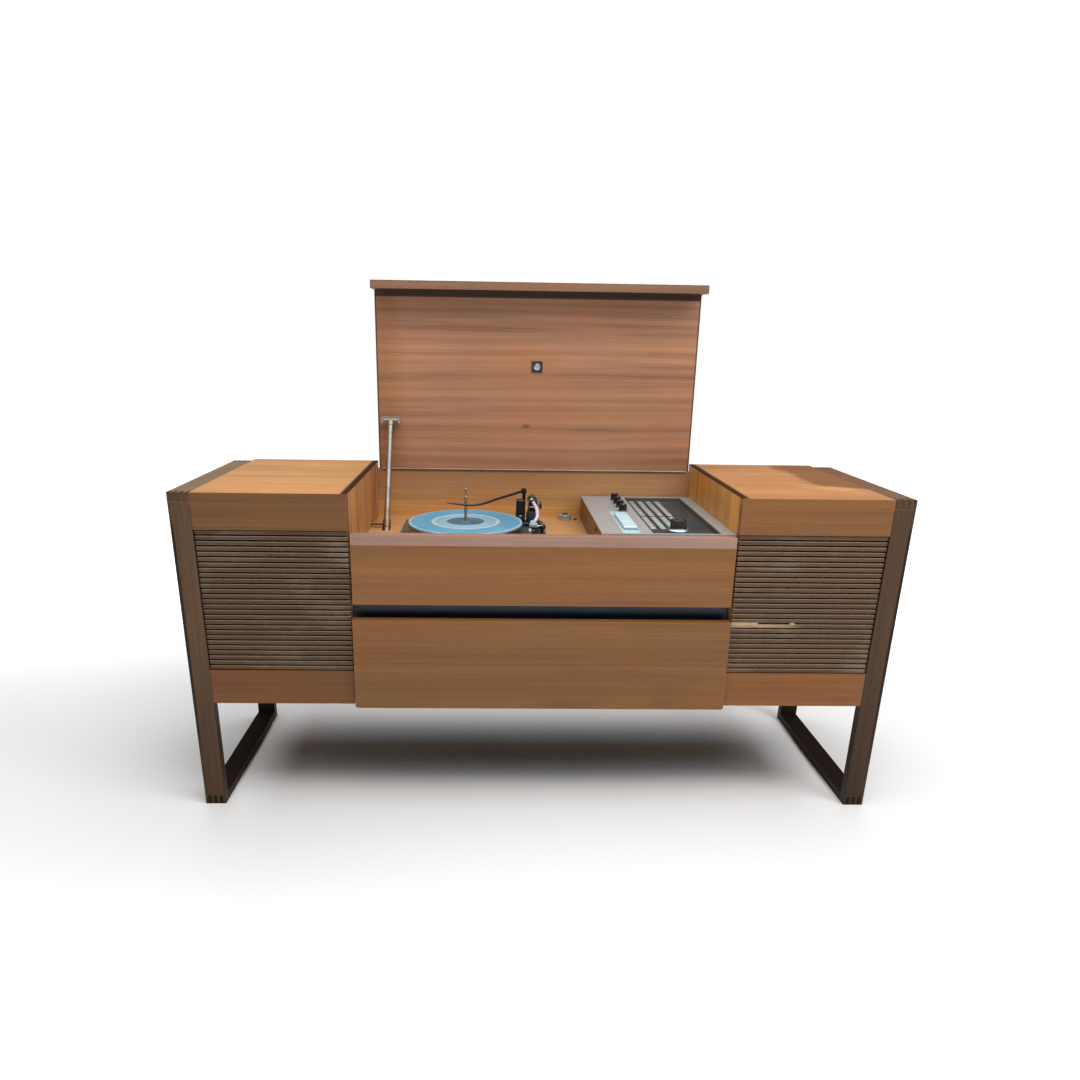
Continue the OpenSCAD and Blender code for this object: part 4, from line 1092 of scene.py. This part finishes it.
def tonearm(black, ivory):
    """The arm in its own pieces: pivot block, tube, weight, shell, cartridge and finger lift."""
    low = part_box("tonearm")[0]
    yoke_low, yoke_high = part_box("tonearm_yoke")
    pivot = Vector(((yoke_low.x + yoke_high.x) / 2, (yoke_low.y + yoke_high.y) / 2, yoke_high.z - mm(7)))
    x, y, z = pivot / MILLIMETRE
    head_x, head_y = x - 7.0, low.y / MILLIMETRE + 16.0
    silver = chrome("aluminium_tube_polished", "E2E2E0", 0.2)

    def part(name, *made, finish=black, body="tonearm", slot="chrome", stands_for=()):
        kind, *how = made
        hang(kind(name, *how), body, finish, stands_for)

    def near(dx, dy, dz, turn=None):
        return at(pivot.x + mm(dx), pivot.y + mm(dy), pivot.z + mm(dz), turn)

    part(
        "tonearm_bearing", slab, (pivot.x - mm(11.5), pivot.y - mm(12), pivot.z - mm(9)),
        (pivot.x + mm(11.5), pivot.y + mm(10), pivot.z + mm(8)), 3.0, 4, stands_for=("tonearm",),
    )
    part(
        "tonearm_cap", turned, [(4.2, 0.0), (4.2, 2.0), (3.4, 3.2), (1.8, 3.6), (0.2, 3.6)], near(-4, 0, 7.6),
        32, finish=ivory, slot="key_metal",
    )
    part(
        "tonearm_pin", turned, [(1.9, 0.0), (2.0, 0.3), (2.0, 25.6), (1.8, 26.0)], near(-13, 0, 0, (90, "Y")),
        24, finish=silver,
    )
    part(
        "tonearm_tube", rod,
        [(x + 1.0, y - 9, z + 1), (x + 5.0, y - 50, z - 1.6), (x + 6.0, y - 110, z - 5.5),
         (x + 2.0, y - 158, z - 8.6), (head_x + 1.0, head_y + 24, z - 11.2)],
        [4.6, 4.4, 4.2, 4.0, 3.8], finish=moulded("aluminium_tube_lacquered", "CFCBD4", 0.3),
    )
    part(
        "tonearm_weight", turned,
        [(3.4, 0.0), (3.4, 11.0), (10.5, 11.6), (12.6, 13.0), (13.0, 14.0), (13.0, 19.0), (12.2, 19.6),
         (12.2, 21.4), (13.0, 22.0), (13.0, 35.0), (12.0, 37.4), (9.0, 38.0), (8.4, 37.2), (0.4, 37.0)],
        near(0, 8, 0, (-90, "X")), 56, slot="dark_enamel",
    )
    part(
        "tonearm_shell", head_shell, head_x, head_y, z - 12.0,
        finish=moulded("abs_moulded_shell", "93A2A8", 0.3), slot="key_metal",
    )
    part(
        "tonearm_cartridge", slab, (mm(head_x - 5.5), mm(head_y - 7), mm(z - 22.0)),
        (mm(head_x + 5.5), mm(head_y + 13), mm(z - 17.2)), 0.8, slot="black_knob",
    )
    part(
        "tonearm_needle", turned, [(0.4, 0.0), (0.9, 1.4), (1.6, 7.0), (0.3, 7.2)],
        at(mm(head_x), mm(head_y), low.z), 16, finish=silver,
    )
    part(
        "tonearm_finger_lift", rod,
        [(head_x + 8.5, head_y - 8, z - 13.0), (head_x + 13, head_y - 8.6, z - 13.4),
         (head_x + 17, head_y - 8.4, z - 12.0), (head_x + 19.2, head_y - 8, z - 10.2)],
        [1.0, 0.95, 0.9, 0.8], 16, finish=silver,
    )
    part(
        "yoke_trim_knob", turned,
        [(3.0, 0.0), (3.0, 1.5), (9.6, 1.8), (10.2, 2.4), (10.2, 6.4), (9.2, 7.6), (7.0, 7.6), (6.4, 7.0),
         (0.3, 6.9)],
        at(yoke_high.x - mm(0.5), pivot.y, pivot.z - mm(7), (90, "Y")), 40, body="tonearm_yoke",
        slot="black_knob",
    )
    part(
        "yoke_web", slab, (yoke_low.x + mm(2.5), pivot.y - mm(3.5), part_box("tonearm_base")[1].z - mm(1)),
        (yoke_high.x - mm(2.5), pivot.y + mm(3.5), pivot.z - mm(14.5)), 1.2, body="tonearm_yoke",
        slot="dark_enamel",
    )


def head_shell(name, x, y, z):
    """Head shell: a block that tapers to its nose and is hollowed a little on top."""
    piece = slab(
        name, (mm(x - 12.5), mm(y - 11.5), mm(z - 5.5)), (mm(x + 9.5), mm(y + 28), mm(z + 5.5)), 1.6, 3
    )
    reopen(piece)
    pick(piece, "VERT", lambda spot, _n: spot.y > mm(y + 20))
    bpy.ops.transform.resize(value=(0.56, 1.0, 0.8), center_override=(mm(x), mm(y + 24), mm(z)))
    pick(piece, "VERT", lambda spot, _n: spot.y < mm(y - 4))
    bpy.ops.transform.resize(value=(0.92, 1.0, 0.72), center_override=(mm(x), mm(y - 8), mm(z - 3)))
    pick(piece, "FACE", lambda spot, normal: normal.z > 0.9 and abs(spot.x - mm(x)) < mm(4))
    bpy.ops.mesh.inset(thickness=mm(2.2))
    bpy.ops.transform.translate(value=(0, 0, -mm(0.8)))
    return close_edit(piece, None, 40.0)


def plate_fittings(yoke, black, ivory):
    """Cueing tower left of the arm, its turned knob, the arm's pedestal, and two buttons on the plate."""
    top = plate_top()
    left, right, near, far = yoke.x - mm(29), yoke.x - mm(4.5), yoke.y + mm(2), yoke.y + mm(33)
    middle = (left + right) / 2
    tower = slab("cueing_tower", (left, near, top), (right, far, top + mm(69)), 3.0, 4)
    reopen(tower)
    pick(tower, "VERT", lambda spot, _n: spot.z > top + mm(50))
    bpy.ops.transform.resize(value=(0.9, 0.8, 1.0), center_override=(middle, far - mm(12), top))
    pick(tower, "FACE", lambda spot, normal: normal.y < -0.9)
    bpy.ops.mesh.inset(thickness=mm(2.6))
    bpy.ops.transform.translate(value=(0, mm(0.8), 0))
    hang(close_edit(tower, None, 40.0), "cabinet", black)
    dial = turned(
        "cueing_dial", [(5.6, 0.0), (5.8, 0.4), (5.8, 2.6), (5.0, 3.4), (0.3, 3.5)],
        at(middle, near + mm(1.4), top + mm(24), (90, "X")), 32,
    )
    hang(dial, "cabinet", chrome("steel_dial_plated", "9FA6AC", 0.25))
    knob = turned(
        "cueing_knob",
        [(6.6, 0.0), (7.0, 0.5), (7.0, 3.0), (4.4, 4.0), (4.4, 12.0), (8.2, 13.2), (8.6, 14.4), (8.6, 22.4),
         (7.2, 24.6), (0.3, 25.0)],
        at(yoke.x + mm(36), yoke.y - mm(83), top), 40,
    )
    hang(knob, "cabinet", black)
    for name, (x1, y1), (x2, y2), height, rounding, segments in (
        ("arm_pedestal", (-25, -3), (38, 34), 11, 3.0, 4),
        ("cueing_foot", (20, -92), (44.5, -66), 3.4, 1.2, 3),
    ):
        low = (yoke.x + mm(x1), yoke.y + mm(y1), top)
        high = (yoke.x + mm(x2), yoke.y + mm(y2), top + mm(height))
        hang(slab(name, low, high, rounding, segments), "cabinet", black)
    place = at(yoke.x + mm(7), yoke.y - mm(38), top)
    button = turned("plate_button_1", [(4.0, 0.0), (4.0, 2.2), (3.2, 3.2), (0.3, 3.5)], place, 28)
    hang(button, "cabinet", ivory)
    copied(button, "plate_button_2", (0, -mm(15), 0), "cabinet")


def start_lever():
    """Start lever: a round boss with a tapering blade and a turned knob."""
    low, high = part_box("start_lever")
    boss = Vector(((low.x + high.x) / 2, high.y - mm(8), plate_top()))
    black = moulded("phenolic_moulded_lever", "17161A", 0.32)
    hub = turned(
        "start_lever_boss", [(8.0, 0.0), (8.0, 4.4), (7.2, 5.6), (3.0, 6.0), (0.3, 6.0)],
        Matrix.Translation(boss), 40,
    )
    hang(hub, "start_lever", black, ("start_lever",))
    blade = slab(
        "start_lever_blade", (boss.x - mm(3), boss.y - mm(24), boss.z + mm(2)),
        (boss.x + mm(3), boss.y - mm(2), boss.z + mm(5.4)), 0.8,
    )
    hang(blade, "start_lever", chrome("steel_blade_plated", "B8B2A0", 0.25))
    knob = turned(
        "start_lever_knob",
        [(4.3, 0.0), (4.5, 0.8), (3.6, 3.6), (4.3, 8.2), (4.0, 11.0), (2.6, 12.0), (0.2, 12.0)],
        at(boss.x, boss.y - mm(24), boss.z + mm(2)), 32,
    )
    hang(knob, "start_lever", black)


# ---- the tuner ----


def brushed(base):
    """Anodised aluminium, brushed along its depth. Warm grey, with soft lines and finger marks."""
    skin = Skin("aluminium_brushed_anodised")
    line = skin.noise((900.0, 5.0, 900.0), (1.0, 0.0, 0.0), 3.0, 0.65)
    mark = skin.noise((30.0, 18.0, 30.0), (0.0, 2.0, 0.0), 4.0, 0.6)
    shade = add("Mix", line, rgba(base, 0.88), rgba(base, 1.12))
    shade = add("Mix", add("MapRange", mark, 0.45, 0.8, 0.0, 0.35), shade, rgba(base, 0.66))
    return skin.done(line, 0.02, 0.5, Base_Color=shade, Metallic=0.45, Roughness=(line + mark) * 0.14 + 0.26)


def satin(name, code, rows=None):
    """Etched and tinted aluminium: pale, even and silky, a little darker where fingers rub it.
    rows is where the first key starts and how far apart the keys are: each key's ends are round, and painted
    darker as shade in the gaps between the keys."""
    skin = Skin(name)
    base = linear(code)
    touch = skin.noise((48.0, 22.0, 48.0), (3.0, 5.0, 1.0), 3.0, 0.6)
    shade = add("Mix", add("MapRange", touch, 0.42, 0.75, 0.0, 0.4), rgba(base), rgba(base, 0.62))
    if rows:
        # Each key's ends are painted darker: painted shade in the gaps between keys
        along = add("Math", (skin.y - rows[0]) / rows[1], operation="FRACT")
        near, far = add("MapRange", along, 0.10, 0.04), add("MapRange", along, 0.90, 0.97)
        ends = add("Math", near, far, operation="MAXIMUM")
        shade = add("Mix", ends * 0.75, shade, rgba(base, 0.30))
    etch = skin.noise(650.0, (2.0, 3.0, 1.0))
    return skin.done(etch, 0.02, 0.3, Base_Color=shade, Metallic=0.25, Roughness=touch * 0.2 + 0.2)


def smoked():
    """Smoked acrylic sheet: what lies under it shows, dimmed, and its face mirrors light at a low angle."""
    finish = bpy.data.materials.new("acrylic_sheet_smoked")
    tree = cleared(finish)
    spot = add("TexCoord", tree=tree, output="Object")
    dust = speckle(spot, (40.0, 14.0, 40.0), (2.0, 2.0, 2.0), 4.0, 0.6)
    clear = add("BsdfTransparent", rgba(linear("EAEDEE")), tree=tree)
    rough = add("MapRange", dust, 0.3, 0.8, 0.05, 0.3)
    gloss = add("BsdfGlossy", feeds={"Color": rgba(linear("BCD2E2")), "Roughness": rough})
    # Only the outer face mirrors; from within, the sheet would mirror everything at this low angle
    outer = 1.0 - add("NewGeometry", tree=tree, output="Backfacing")
    share = add("Fresnel", tree=tree, feeds={"IOR": 1.36}) * outer
    add("OutputMaterial", add("MixShader", share, clear, gloss))
    return finish


class CABINET_OT_tuner(bpy.types.Operator):
    """Fascia, dial with its printed strips, knobs and keys of the tuner"""

    bl_idname = "cabinet.tuner"
    bl_label = "Tuner"

    def execute(self, context):
        woods, tuner = settings(context)[0], settings(context)[2]
        # The case is much darker than the well's veneer: partly its own tone, partly painted shade on its
        # sides
        veneer(
            "tuner_case", "teak_veneer_sliced_tuner_case", rgba(woods.well, 0.42), "Y", 51.0, bands=0.6,
            contrast=1.2,
        )
        dress(brushed(tuner.fascia), "tuner_plate")
        soften(0.35, "tuner_plate", "tuner_case")
        dress(black_enamel("steel_tray_printed_ground", "36434D", 0.5, 0.3), "dial_tray")
        dress(moulded("pointer_lacquered_red", "B0281A", 0.3), "dial_pointer")
        dress(smoked(), "dial_glass")
        keys = ("key_power", "key_radio", "key_phono")
        first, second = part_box(keys[0])[0].y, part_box(keys[1])[0].y
        dress(satin("aluminium_keys_satin_tinted", "C2E2EC", (first - mm(0.5), second - first)), *keys)
        soften(0.8, *keys)
        key_surround([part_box(name) for name in keys])
        scale_strips(tuner.scale)
        control_knobs(tuner.knob_flutes)
        small_fittings()
        return {"FINISHED"}


def key_surround(keys):
    """Thin tinted plate round the keys, with a window for each."""
    top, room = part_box("tuner_plate")[1].z, mm(0.8)
    low, high = keys[0]
    plate = slab(
        "key_surround", (low.x - mm(7), low.y - mm(32), top),
        (high.x + mm(3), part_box("volume_knob")[0].y - mm(1.5), top + mm(0.7)), 0.25,
    )
    for low, high in keys:
        start, end = (low.x - room, low.y - room, top - mm(3)), (high.x + room, high.y + room, top + mm(4))
        cut_by(plate, slab("window_cutter", start, end, 0.3))
    # Cut sheet is flat: smooth shading would draw creases between its windows
    only(plate)
    bpy.ops.object.shade_flat()
    hang(plate, "cabinet", satin("aluminium_plate_tinted", "B9D6DC"))


def printed_paper(base, left, near):
    """Printed paper: matt, a little yellowed in clouds, with a dark tick every few millimetres."""
    skin = Skin("paper_strip_printed")
    beat = abs(add("Math", (skin.y - near) / TICK_PITCH, operation="FRACT") - 0.5)
    tick = (beat < 0.055) * (add("Math", (skin.x - left) / STRIP_PITCH, operation="FRACT") < 0.16)
    yellowed = skin.noise((25.0, 9.0, 25.0), (1.0, 0.0, 2.0), 3.0, 0.6)
    aged = rgba(blend_of(base, linear("B7A98C"), 0.6))
    shade = add("Mix", add("MapRange", yellowed, 0.35, 0.75, 0.0, 0.4), rgba(base), aged)
    shade = add("Mix", tick, shade, rgba(linear("2A2A2C")))
    return skin.done(yellowed, 0.05, 0.2, Base_Color=shade, Roughness=0.55)


def scale_strips(base):
    """Four printed strips with their ticks and plain frequency numbers."""
    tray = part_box("dial_tray")
    left, near, far = tray[0].x + mm(14), tray[0].y + mm(84), tray[1].y - mm(14)
    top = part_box("dial_glass")[0].z - mm(5.9)
    first = slab("scale_strip_1", (left, near, top), (left + STRIP_WIDTH, far, top + mm(0.4)), 0.12)
    hang(first, "cabinet", printed_paper(base, left, near))
    for k in range(1, 4):
        copied(first, f"scale_strip_{k + 1}", (k * STRIP_PITCH, 0, 0), "cabinet")
    ink = moulded("ink_printed_numbers", "232326", 0.5)
    rows = ("88 92 96 100 104 108", "6 7 9 11 14 17", "55 65 80 100 130 160", "15 18 21 24 27 30")
    for k, row in enumerate(rows):
        numbers = row.split()
        pieces = []
        for n, number in enumerate(numbers):
            bpy.ops.object.select_all(action="DESELECT")
            bpy.ops.object.text_add(radius=mm(6.4))
            text = bpy.context.object.data
            text.body, text.align_x, text.extrude = number, "CENTER", mm(0.05)
            bpy.ops.object.convert(target="MESH")
            piece = bpy.context.object
            y = near + (far - near) * (n + 0.5) / len(numbers) - mm(2.2)
            piece.matrix_world = at(left + k * STRIP_PITCH + mm(8.4), y, top + mm(0.46))
            set_in_place(piece)
            pieces.append(piece)
        only(pieces[0])
        for piece in pieces:
            piece.select_set(True)
        bpy.ops.object.join()
        pieces[0].name = f"scale_numbers_{k + 1}"
        hang(pieces[0], "cabinet", ink)


def control_knobs(flutes):
    """Four fluted knobs with pointer lines, and the large tuning knob on its spun skirt."""
    black = moulded("phenolic_moulded_knobs", "101012", 0.26, 900.0, 0.12)
    white = moulded("pointer_line_filled", "D8D6CE", 0.5)
    profile = [(12.0, 0.3), (12.0, 1.5), (11.5, 2.1), (10.3, 2.7), (10.1, 3.6), (9.7, 15.6), (9.0, 17.2),
               (8.0, 18.0), (7.2, 18.0), (6.6, 17.5), (0.2, 17.4)]

    def base_of(name, height):
        low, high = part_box(name)
        return Vector(((low.x + high.x) / 2, (low.y + high.y) / 2, high.z - height))

    start = base_of("volume_knob", KNOB_HEIGHT)
    press = fluted(flutes, 3.6, 15.6, 0.07)
    first = turned("volume_knob_fluted", profile, Matrix.Translation(start), flutes * 4, 28.0, press)
    hang(first, "volume_knob", black, ("volume_knob",))
    line = slab(
        "volume_knob_line", (start.x - mm(0.45), start.y + mm(1.5), start.z + mm(17.2)),
        (start.x + mm(0.45), start.y + mm(6.8), start.z + mm(17.8)), 0.1,
    )
    hang(line, "volume_knob", white)
    for name in ("bass_knob", "treble_knob", "balance_knob"):
        shift = base_of(name, KNOB_HEIGHT) - start
        twin = copied(first, name + "_fluted", shift, name)
        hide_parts(name)
        copied(line, name + "_line", shift, name)
    place = Matrix.Translation(base_of("tuning_knob", TUNING_KNOB_HEIGHT))
    cap = turned(
        "tuning_knob_cap",
        [(19.0, 5.4), (19.4, 6.0), (19.4, 7.4), (19.0, 8.4), (18.5, 23.4), (17.8, 25.0), (16.6, 25.9),
         (15.4, 25.9), (14.6, 25.2), (0.3, 24.9)],
        place, 160, 28.0, fluted(40, 8.4, 23.4, 0.035),
    )
    hang(cap, "tuning_knob", black, ("tuning_knob",))
    skirt = turned(
        "tuning_knob_skirt",
        [(26.6, 0.3), (27.0, 0.7), (27.0, 1.7), (26.2, 2.6), (24.4, 4.4), (23.6, 4.7), (23.2, 4.4),
         (20.6, 4.4), (20.0, 5.4), (1.0, 5.4)],
        place, 96,
    )
    hang(skirt, "tuning_knob", chrome("aluminium_spun_skirt", "A3AFC2", 0.28))


def small_fittings():
    """Corner screws of the fascia and the ring of the earphone socket."""
    low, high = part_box("tuner_plate")
    inset = mm(10)
    first = screw("fascia_screw_1", at(low.x + inset, low.y + inset, high.z - mm(0.5), (20, "Z")), 2.4)
    hang(first, "cabinet", chrome("steel_screw_blued", "8C8780", 0.28))
    at_corners(first, "fascia_screw", high.x - low.x - 2 * inset, high.y - low.y - 2 * inset)
    socket = turned(
        "earphone_socket",
        [(7.6, 0.0), (7.6, 0.6), (6.6, 1.5), (4.2, 1.5), (3.6, 0.6), (3.4, 0.3), (0.3, 0.25)],
        at(low.x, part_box("tuner_case")[0].y + mm(107.7), high.z - mm(16), (-90, "Y")), 36,
    )
    hang(socket, "cabinet", moulded("phenolic_moulded_socket", "141210", 0.4))


# ---- the back and the stage ----


def hardboard(base):
    """Pressed hardboard, smooth side out. Felted fibres show as pale flecks on an even brown."""
    skin = Skin("hardboard_pressed")
    fleck = skin.noise(420.0, (1.0, 2.0, 3.0), 4.0, 0.7)
    cloud = skin.noise(6.0, (3.0, 2.0, 1.0), 3.0)
    shade = add("Mix", add("MapRange", fleck, 0.4, 0.68), rgba(base, 0.8), rgba(base, 1.4))
    shade = add("Mix", add("MapRange", cloud, 0.35, 0.7, 0.0, 0.4), shade, rgba(base, 0.7))
    return skin.done(fleck, 0.08, 0.35, Base_Color=shade, Roughness=fleck * 0.2 + 0.55)


class CABINET_OT_back(bpy.types.Operator):
    """Hardboard backs with their screws, the drawer box and the pins of the mains inlet"""

    bl_idname = "cabinet.back"
    bl_label = "Back and drawer box"

    def execute(self, context):
        woods = settings(context)[0]
        dress(hardboard(woods.board), "back_panels")
        veneer(
            "drawer_box", "birch_plywood_sanded", woods.birch, "X", 61.0, bands=0.3, contrast=0.5, pores=0.15,
            sheen=0.55, coat=0.05, wear=0.2,
        )
        soften(0.5, "drawer_box")
        low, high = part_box("back_panels")
        first = screw("back_screw_00", at(0, high.y, 0, (-90, "X")), 3.4)
        half, middle = abs(low.x), (low.z + high.z) / 2
        spots = []
        for side in (-1, 1):
            for height in (low.z + mm(20), middle, high.z - mm(20)):
                spots += [(side * (half - mm(300)), height), (side * (half - mm(28)), height)]
            spots += [(side * (half - mm(160)), height) for height in (low.z + mm(18), high.z - mm(18))]
            spots += [(side * 0.42, low.z + mm(height)) for height in (24, 150, 280)]
        spots += [(across, low.z + mm(18)) for across in (0.0, 0.2, -0.2)]
        steel = dull_metal("steel_screw_bright", "A09C94", 0.3, (300.0, 300.0, 300.0), 2.0)
        hang(first, "cabinet", steel)
        for k, (across, height) in enumerate(spots, start=1):
            copied(first, f"back_screw_{k:02d}", (across, 0, height), "cabinet")
        bpy.data.objects.remove(first)
        low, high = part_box("amplifier_chassis")
        pin = turned(
            "mains_pin_1", [(1.9, 0.0), (2.0, 0.3), (2.0, 9.0), (1.4, 9.8), (0.2, 10.0)],
            at(0.243, high.y - mm(14), low.z + mm(18), (-90, "X")), 20,
        )
        brass = dull_metal("brass_turned_pins", "C0A463", 0.28, (90.0, 90.0, 90.0), 4.0)
        hang(pin, "cabinet", brass)
        copied(pin, "mains_pin_2", (mm(14), 0, 0), "cabinet")
        copied(pin, "mains_pin_3", (mm(7), 0, mm(5.5)), "cabinet")
        return {"FINISHED"}


class CABINET_OT_stage(bpy.types.Operator):
    """Pale floor with a painted shadow under the cabinet, soft studio light and the camera"""

    bl_idname = "cabinet.stage"
    bl_label = "Stage"

    def execute(self, context):
        stage = settings(context)[3]
        bpy.ops.object.select_all(action="DESELECT")
        bpy.ops.mesh.primitive_plane_add(size=60, location=(0, 0, 0))
        floor = bpy.context.object
        floor.name = "floor"
        skin = Skin("painted_studio_floor")
        shade = add("Mix", skin.noise(1.5), rgba(stage.floor, 0.985), rgba(stage.floor))
        # Under the cabinet the floor is painted darker and cooler: a painted shadow, which also takes the
        # brown cast off the real shadow
        under = add("MapRange", skin.y, -0.16, -0.05) * add("MapRange", skin.y, 0.22, 0.09)
        under = under * add("MapRange", abs(skin.x), 0.80, 0.45)
        shade = add("Mix", under, shade, (0.70, 0.82, 0.92, 1.0), blend_type="MULTIPLY")
        # Far from the object the floor glows a little, as a lit backdrop does, so that no horizon shows
        glow = add("MapRange", distance(skin.x * 0.75, skin.y * 1.8), 0.88, 3.4)
        feed(skin.shader, {
            "Base Color": shade, "Roughness": 0.9, "Specular IOR Level": 0.1,
            "Emission Color": WHITE, "Emission Strength": glow,
        })
        floor.data.materials.append(skin.material)
        studio_lights(stage)
        photo_camera(context.scene)
        context.scene.view_settings.view_transform = "Standard"
        return {"FINISHED"}


def studio_lights(stage):
    """An even sky that looks white, a large soft light overhead and two smaller ones at the front."""
    sky = bpy.data.worlds.new("studio")
    bpy.context.scene.world = sky
    tree = cleared(sky)
    seen = add("LightPath", tree=tree, output="Is Camera Ray")
    add("OutputWorld", add("Background", WHITE, seen * (1.0 - stage.sky) + stage.sky))
    for name, place, size, watts, aim in (
        ("top_light", (0.1, 0.2, 3.0), 4.4, stage.top_light, (0.1, 0.2, 0.0)),
        ("front_light", (0.3, -1.8, 3.1), 1.6, stage.front_light, (0.0, 0.0, 0.8)),
        ("side_light", (2.0, -1.3, 2.5), 1.2, stage.side_light, (0.4, 0.0, 0.5)),
    ):
        bpy.ops.object.light_add(type="AREA", location=place)
        lamp = bpy.context.object
        lamp.name = name
        lamp.data.size = size
        lamp.data.energy = watts
        lamp.rotation_euler = (Vector(aim) - Vector(place)).to_track_quat("-Z", "Y").to_euler()


def photo_camera(scene):
    """The viewpoint, solved from the straight edges of the cabinet: about 16 degrees down."""
    focal, middle = 797.171, (509.773, 571.017)
    pitch, yaw, roll = 0.281299, 0.024138, 0.015600
    ahead = Vector((math.sin(yaw) * math.cos(pitch), math.cos(yaw) * math.cos(pitch), -math.sin(pitch)))
    right = Vector((math.cos(yaw), -math.sin(yaw), 0.0))
    up = right.cross(ahead)
    side = right * math.cos(roll) + up * math.sin(roll)
    crown = up * math.cos(roll) - right * math.sin(roll)
    bpy.ops.object.camera_add()
    eye = bpy.context.object
    eye.name = "eye"
    eye.data.sensor_width = SENSOR
    eye.data.lens = focal * SENSOR / PHOTO_SIZE
    eye.data.shift_x = (PHOTO_SIZE / 2 - middle[0]) / PHOTO_SIZE
    eye.data.shift_y = (middle[1] - PHOTO_SIZE / 2) / PHOTO_SIZE
    eye.data.clip_end = 200.0
    turn = Matrix((side, crown, -ahead)).transposed().to_4x4()
    eye.matrix_world = Matrix.Translation((-0.120161, -2.003184, 1.111738)) @ turn
    scene.camera = eye


class CABINET_PT_looks(bpy.types.Panel):
    """Lists the settings and the steps of the cabinet's looks"""

    bl_idname = "CABINET_PT_looks"
    bl_label = "Cabinet looks"
    bl_space_type = "VIEW_3D"
    bl_region_type = "UI"
    bl_category = "Cabinet"

    def draw(self, context):
        for group in settings(context):
            box = self.layout.box()
            for name in group.bl_rna.properties.keys():
                if name not in ("rna_type", "name"):
                    box.prop(group, name)
        for step in STEPS:
            self.layout.operator(step.bl_idname)


GROUPS = {
    "cabinet_woods": CabinetWoods,
    "cabinet_player": PlayerFinish,
    "cabinet_tuner": TunerFinish,
    "cabinet_stage": StudioStage,
}
STEPS = (
    CABINET_OT_frames, CABINET_OT_boxes, CABINET_OT_well, CABINET_OT_lid, CABINET_OT_grilles, CABINET_OT_stay,
    CABINET_OT_player, CABINET_OT_arms, CABINET_OT_tuner, CABINET_OT_back, CABINET_OT_stage,
)


def register():
    """Makes the settings, the steps and the panel known to Blender."""
    for name, group in GROUPS.items():
        bpy.utils.register_class(group)
        setattr(bpy.types.Scene, name, PointerProperty(type=group))
    for step in STEPS:
        bpy.utils.register_class(step)
    bpy.utils.register_class(CABINET_PT_looks)


def unregister():
    """Takes back what register did."""
    bpy.utils.unregister_class(CABINET_PT_looks)
    for step in reversed(STEPS):
        bpy.utils.unregister_class(step)
    for name, group in reversed(list(GROUPS.items())):
        delattr(bpy.types.Scene, name)
        bpy.utils.unregister_class(group)


def main():
    """Runs each step in order."""
    register()
    for step in STEPS:
        group, name = step.bl_idname.split(".")
        getattr(getattr(bpy.ops, group), name)()
    bpy.context.view_layer.update()


if __name__ == "__main__":
    main()
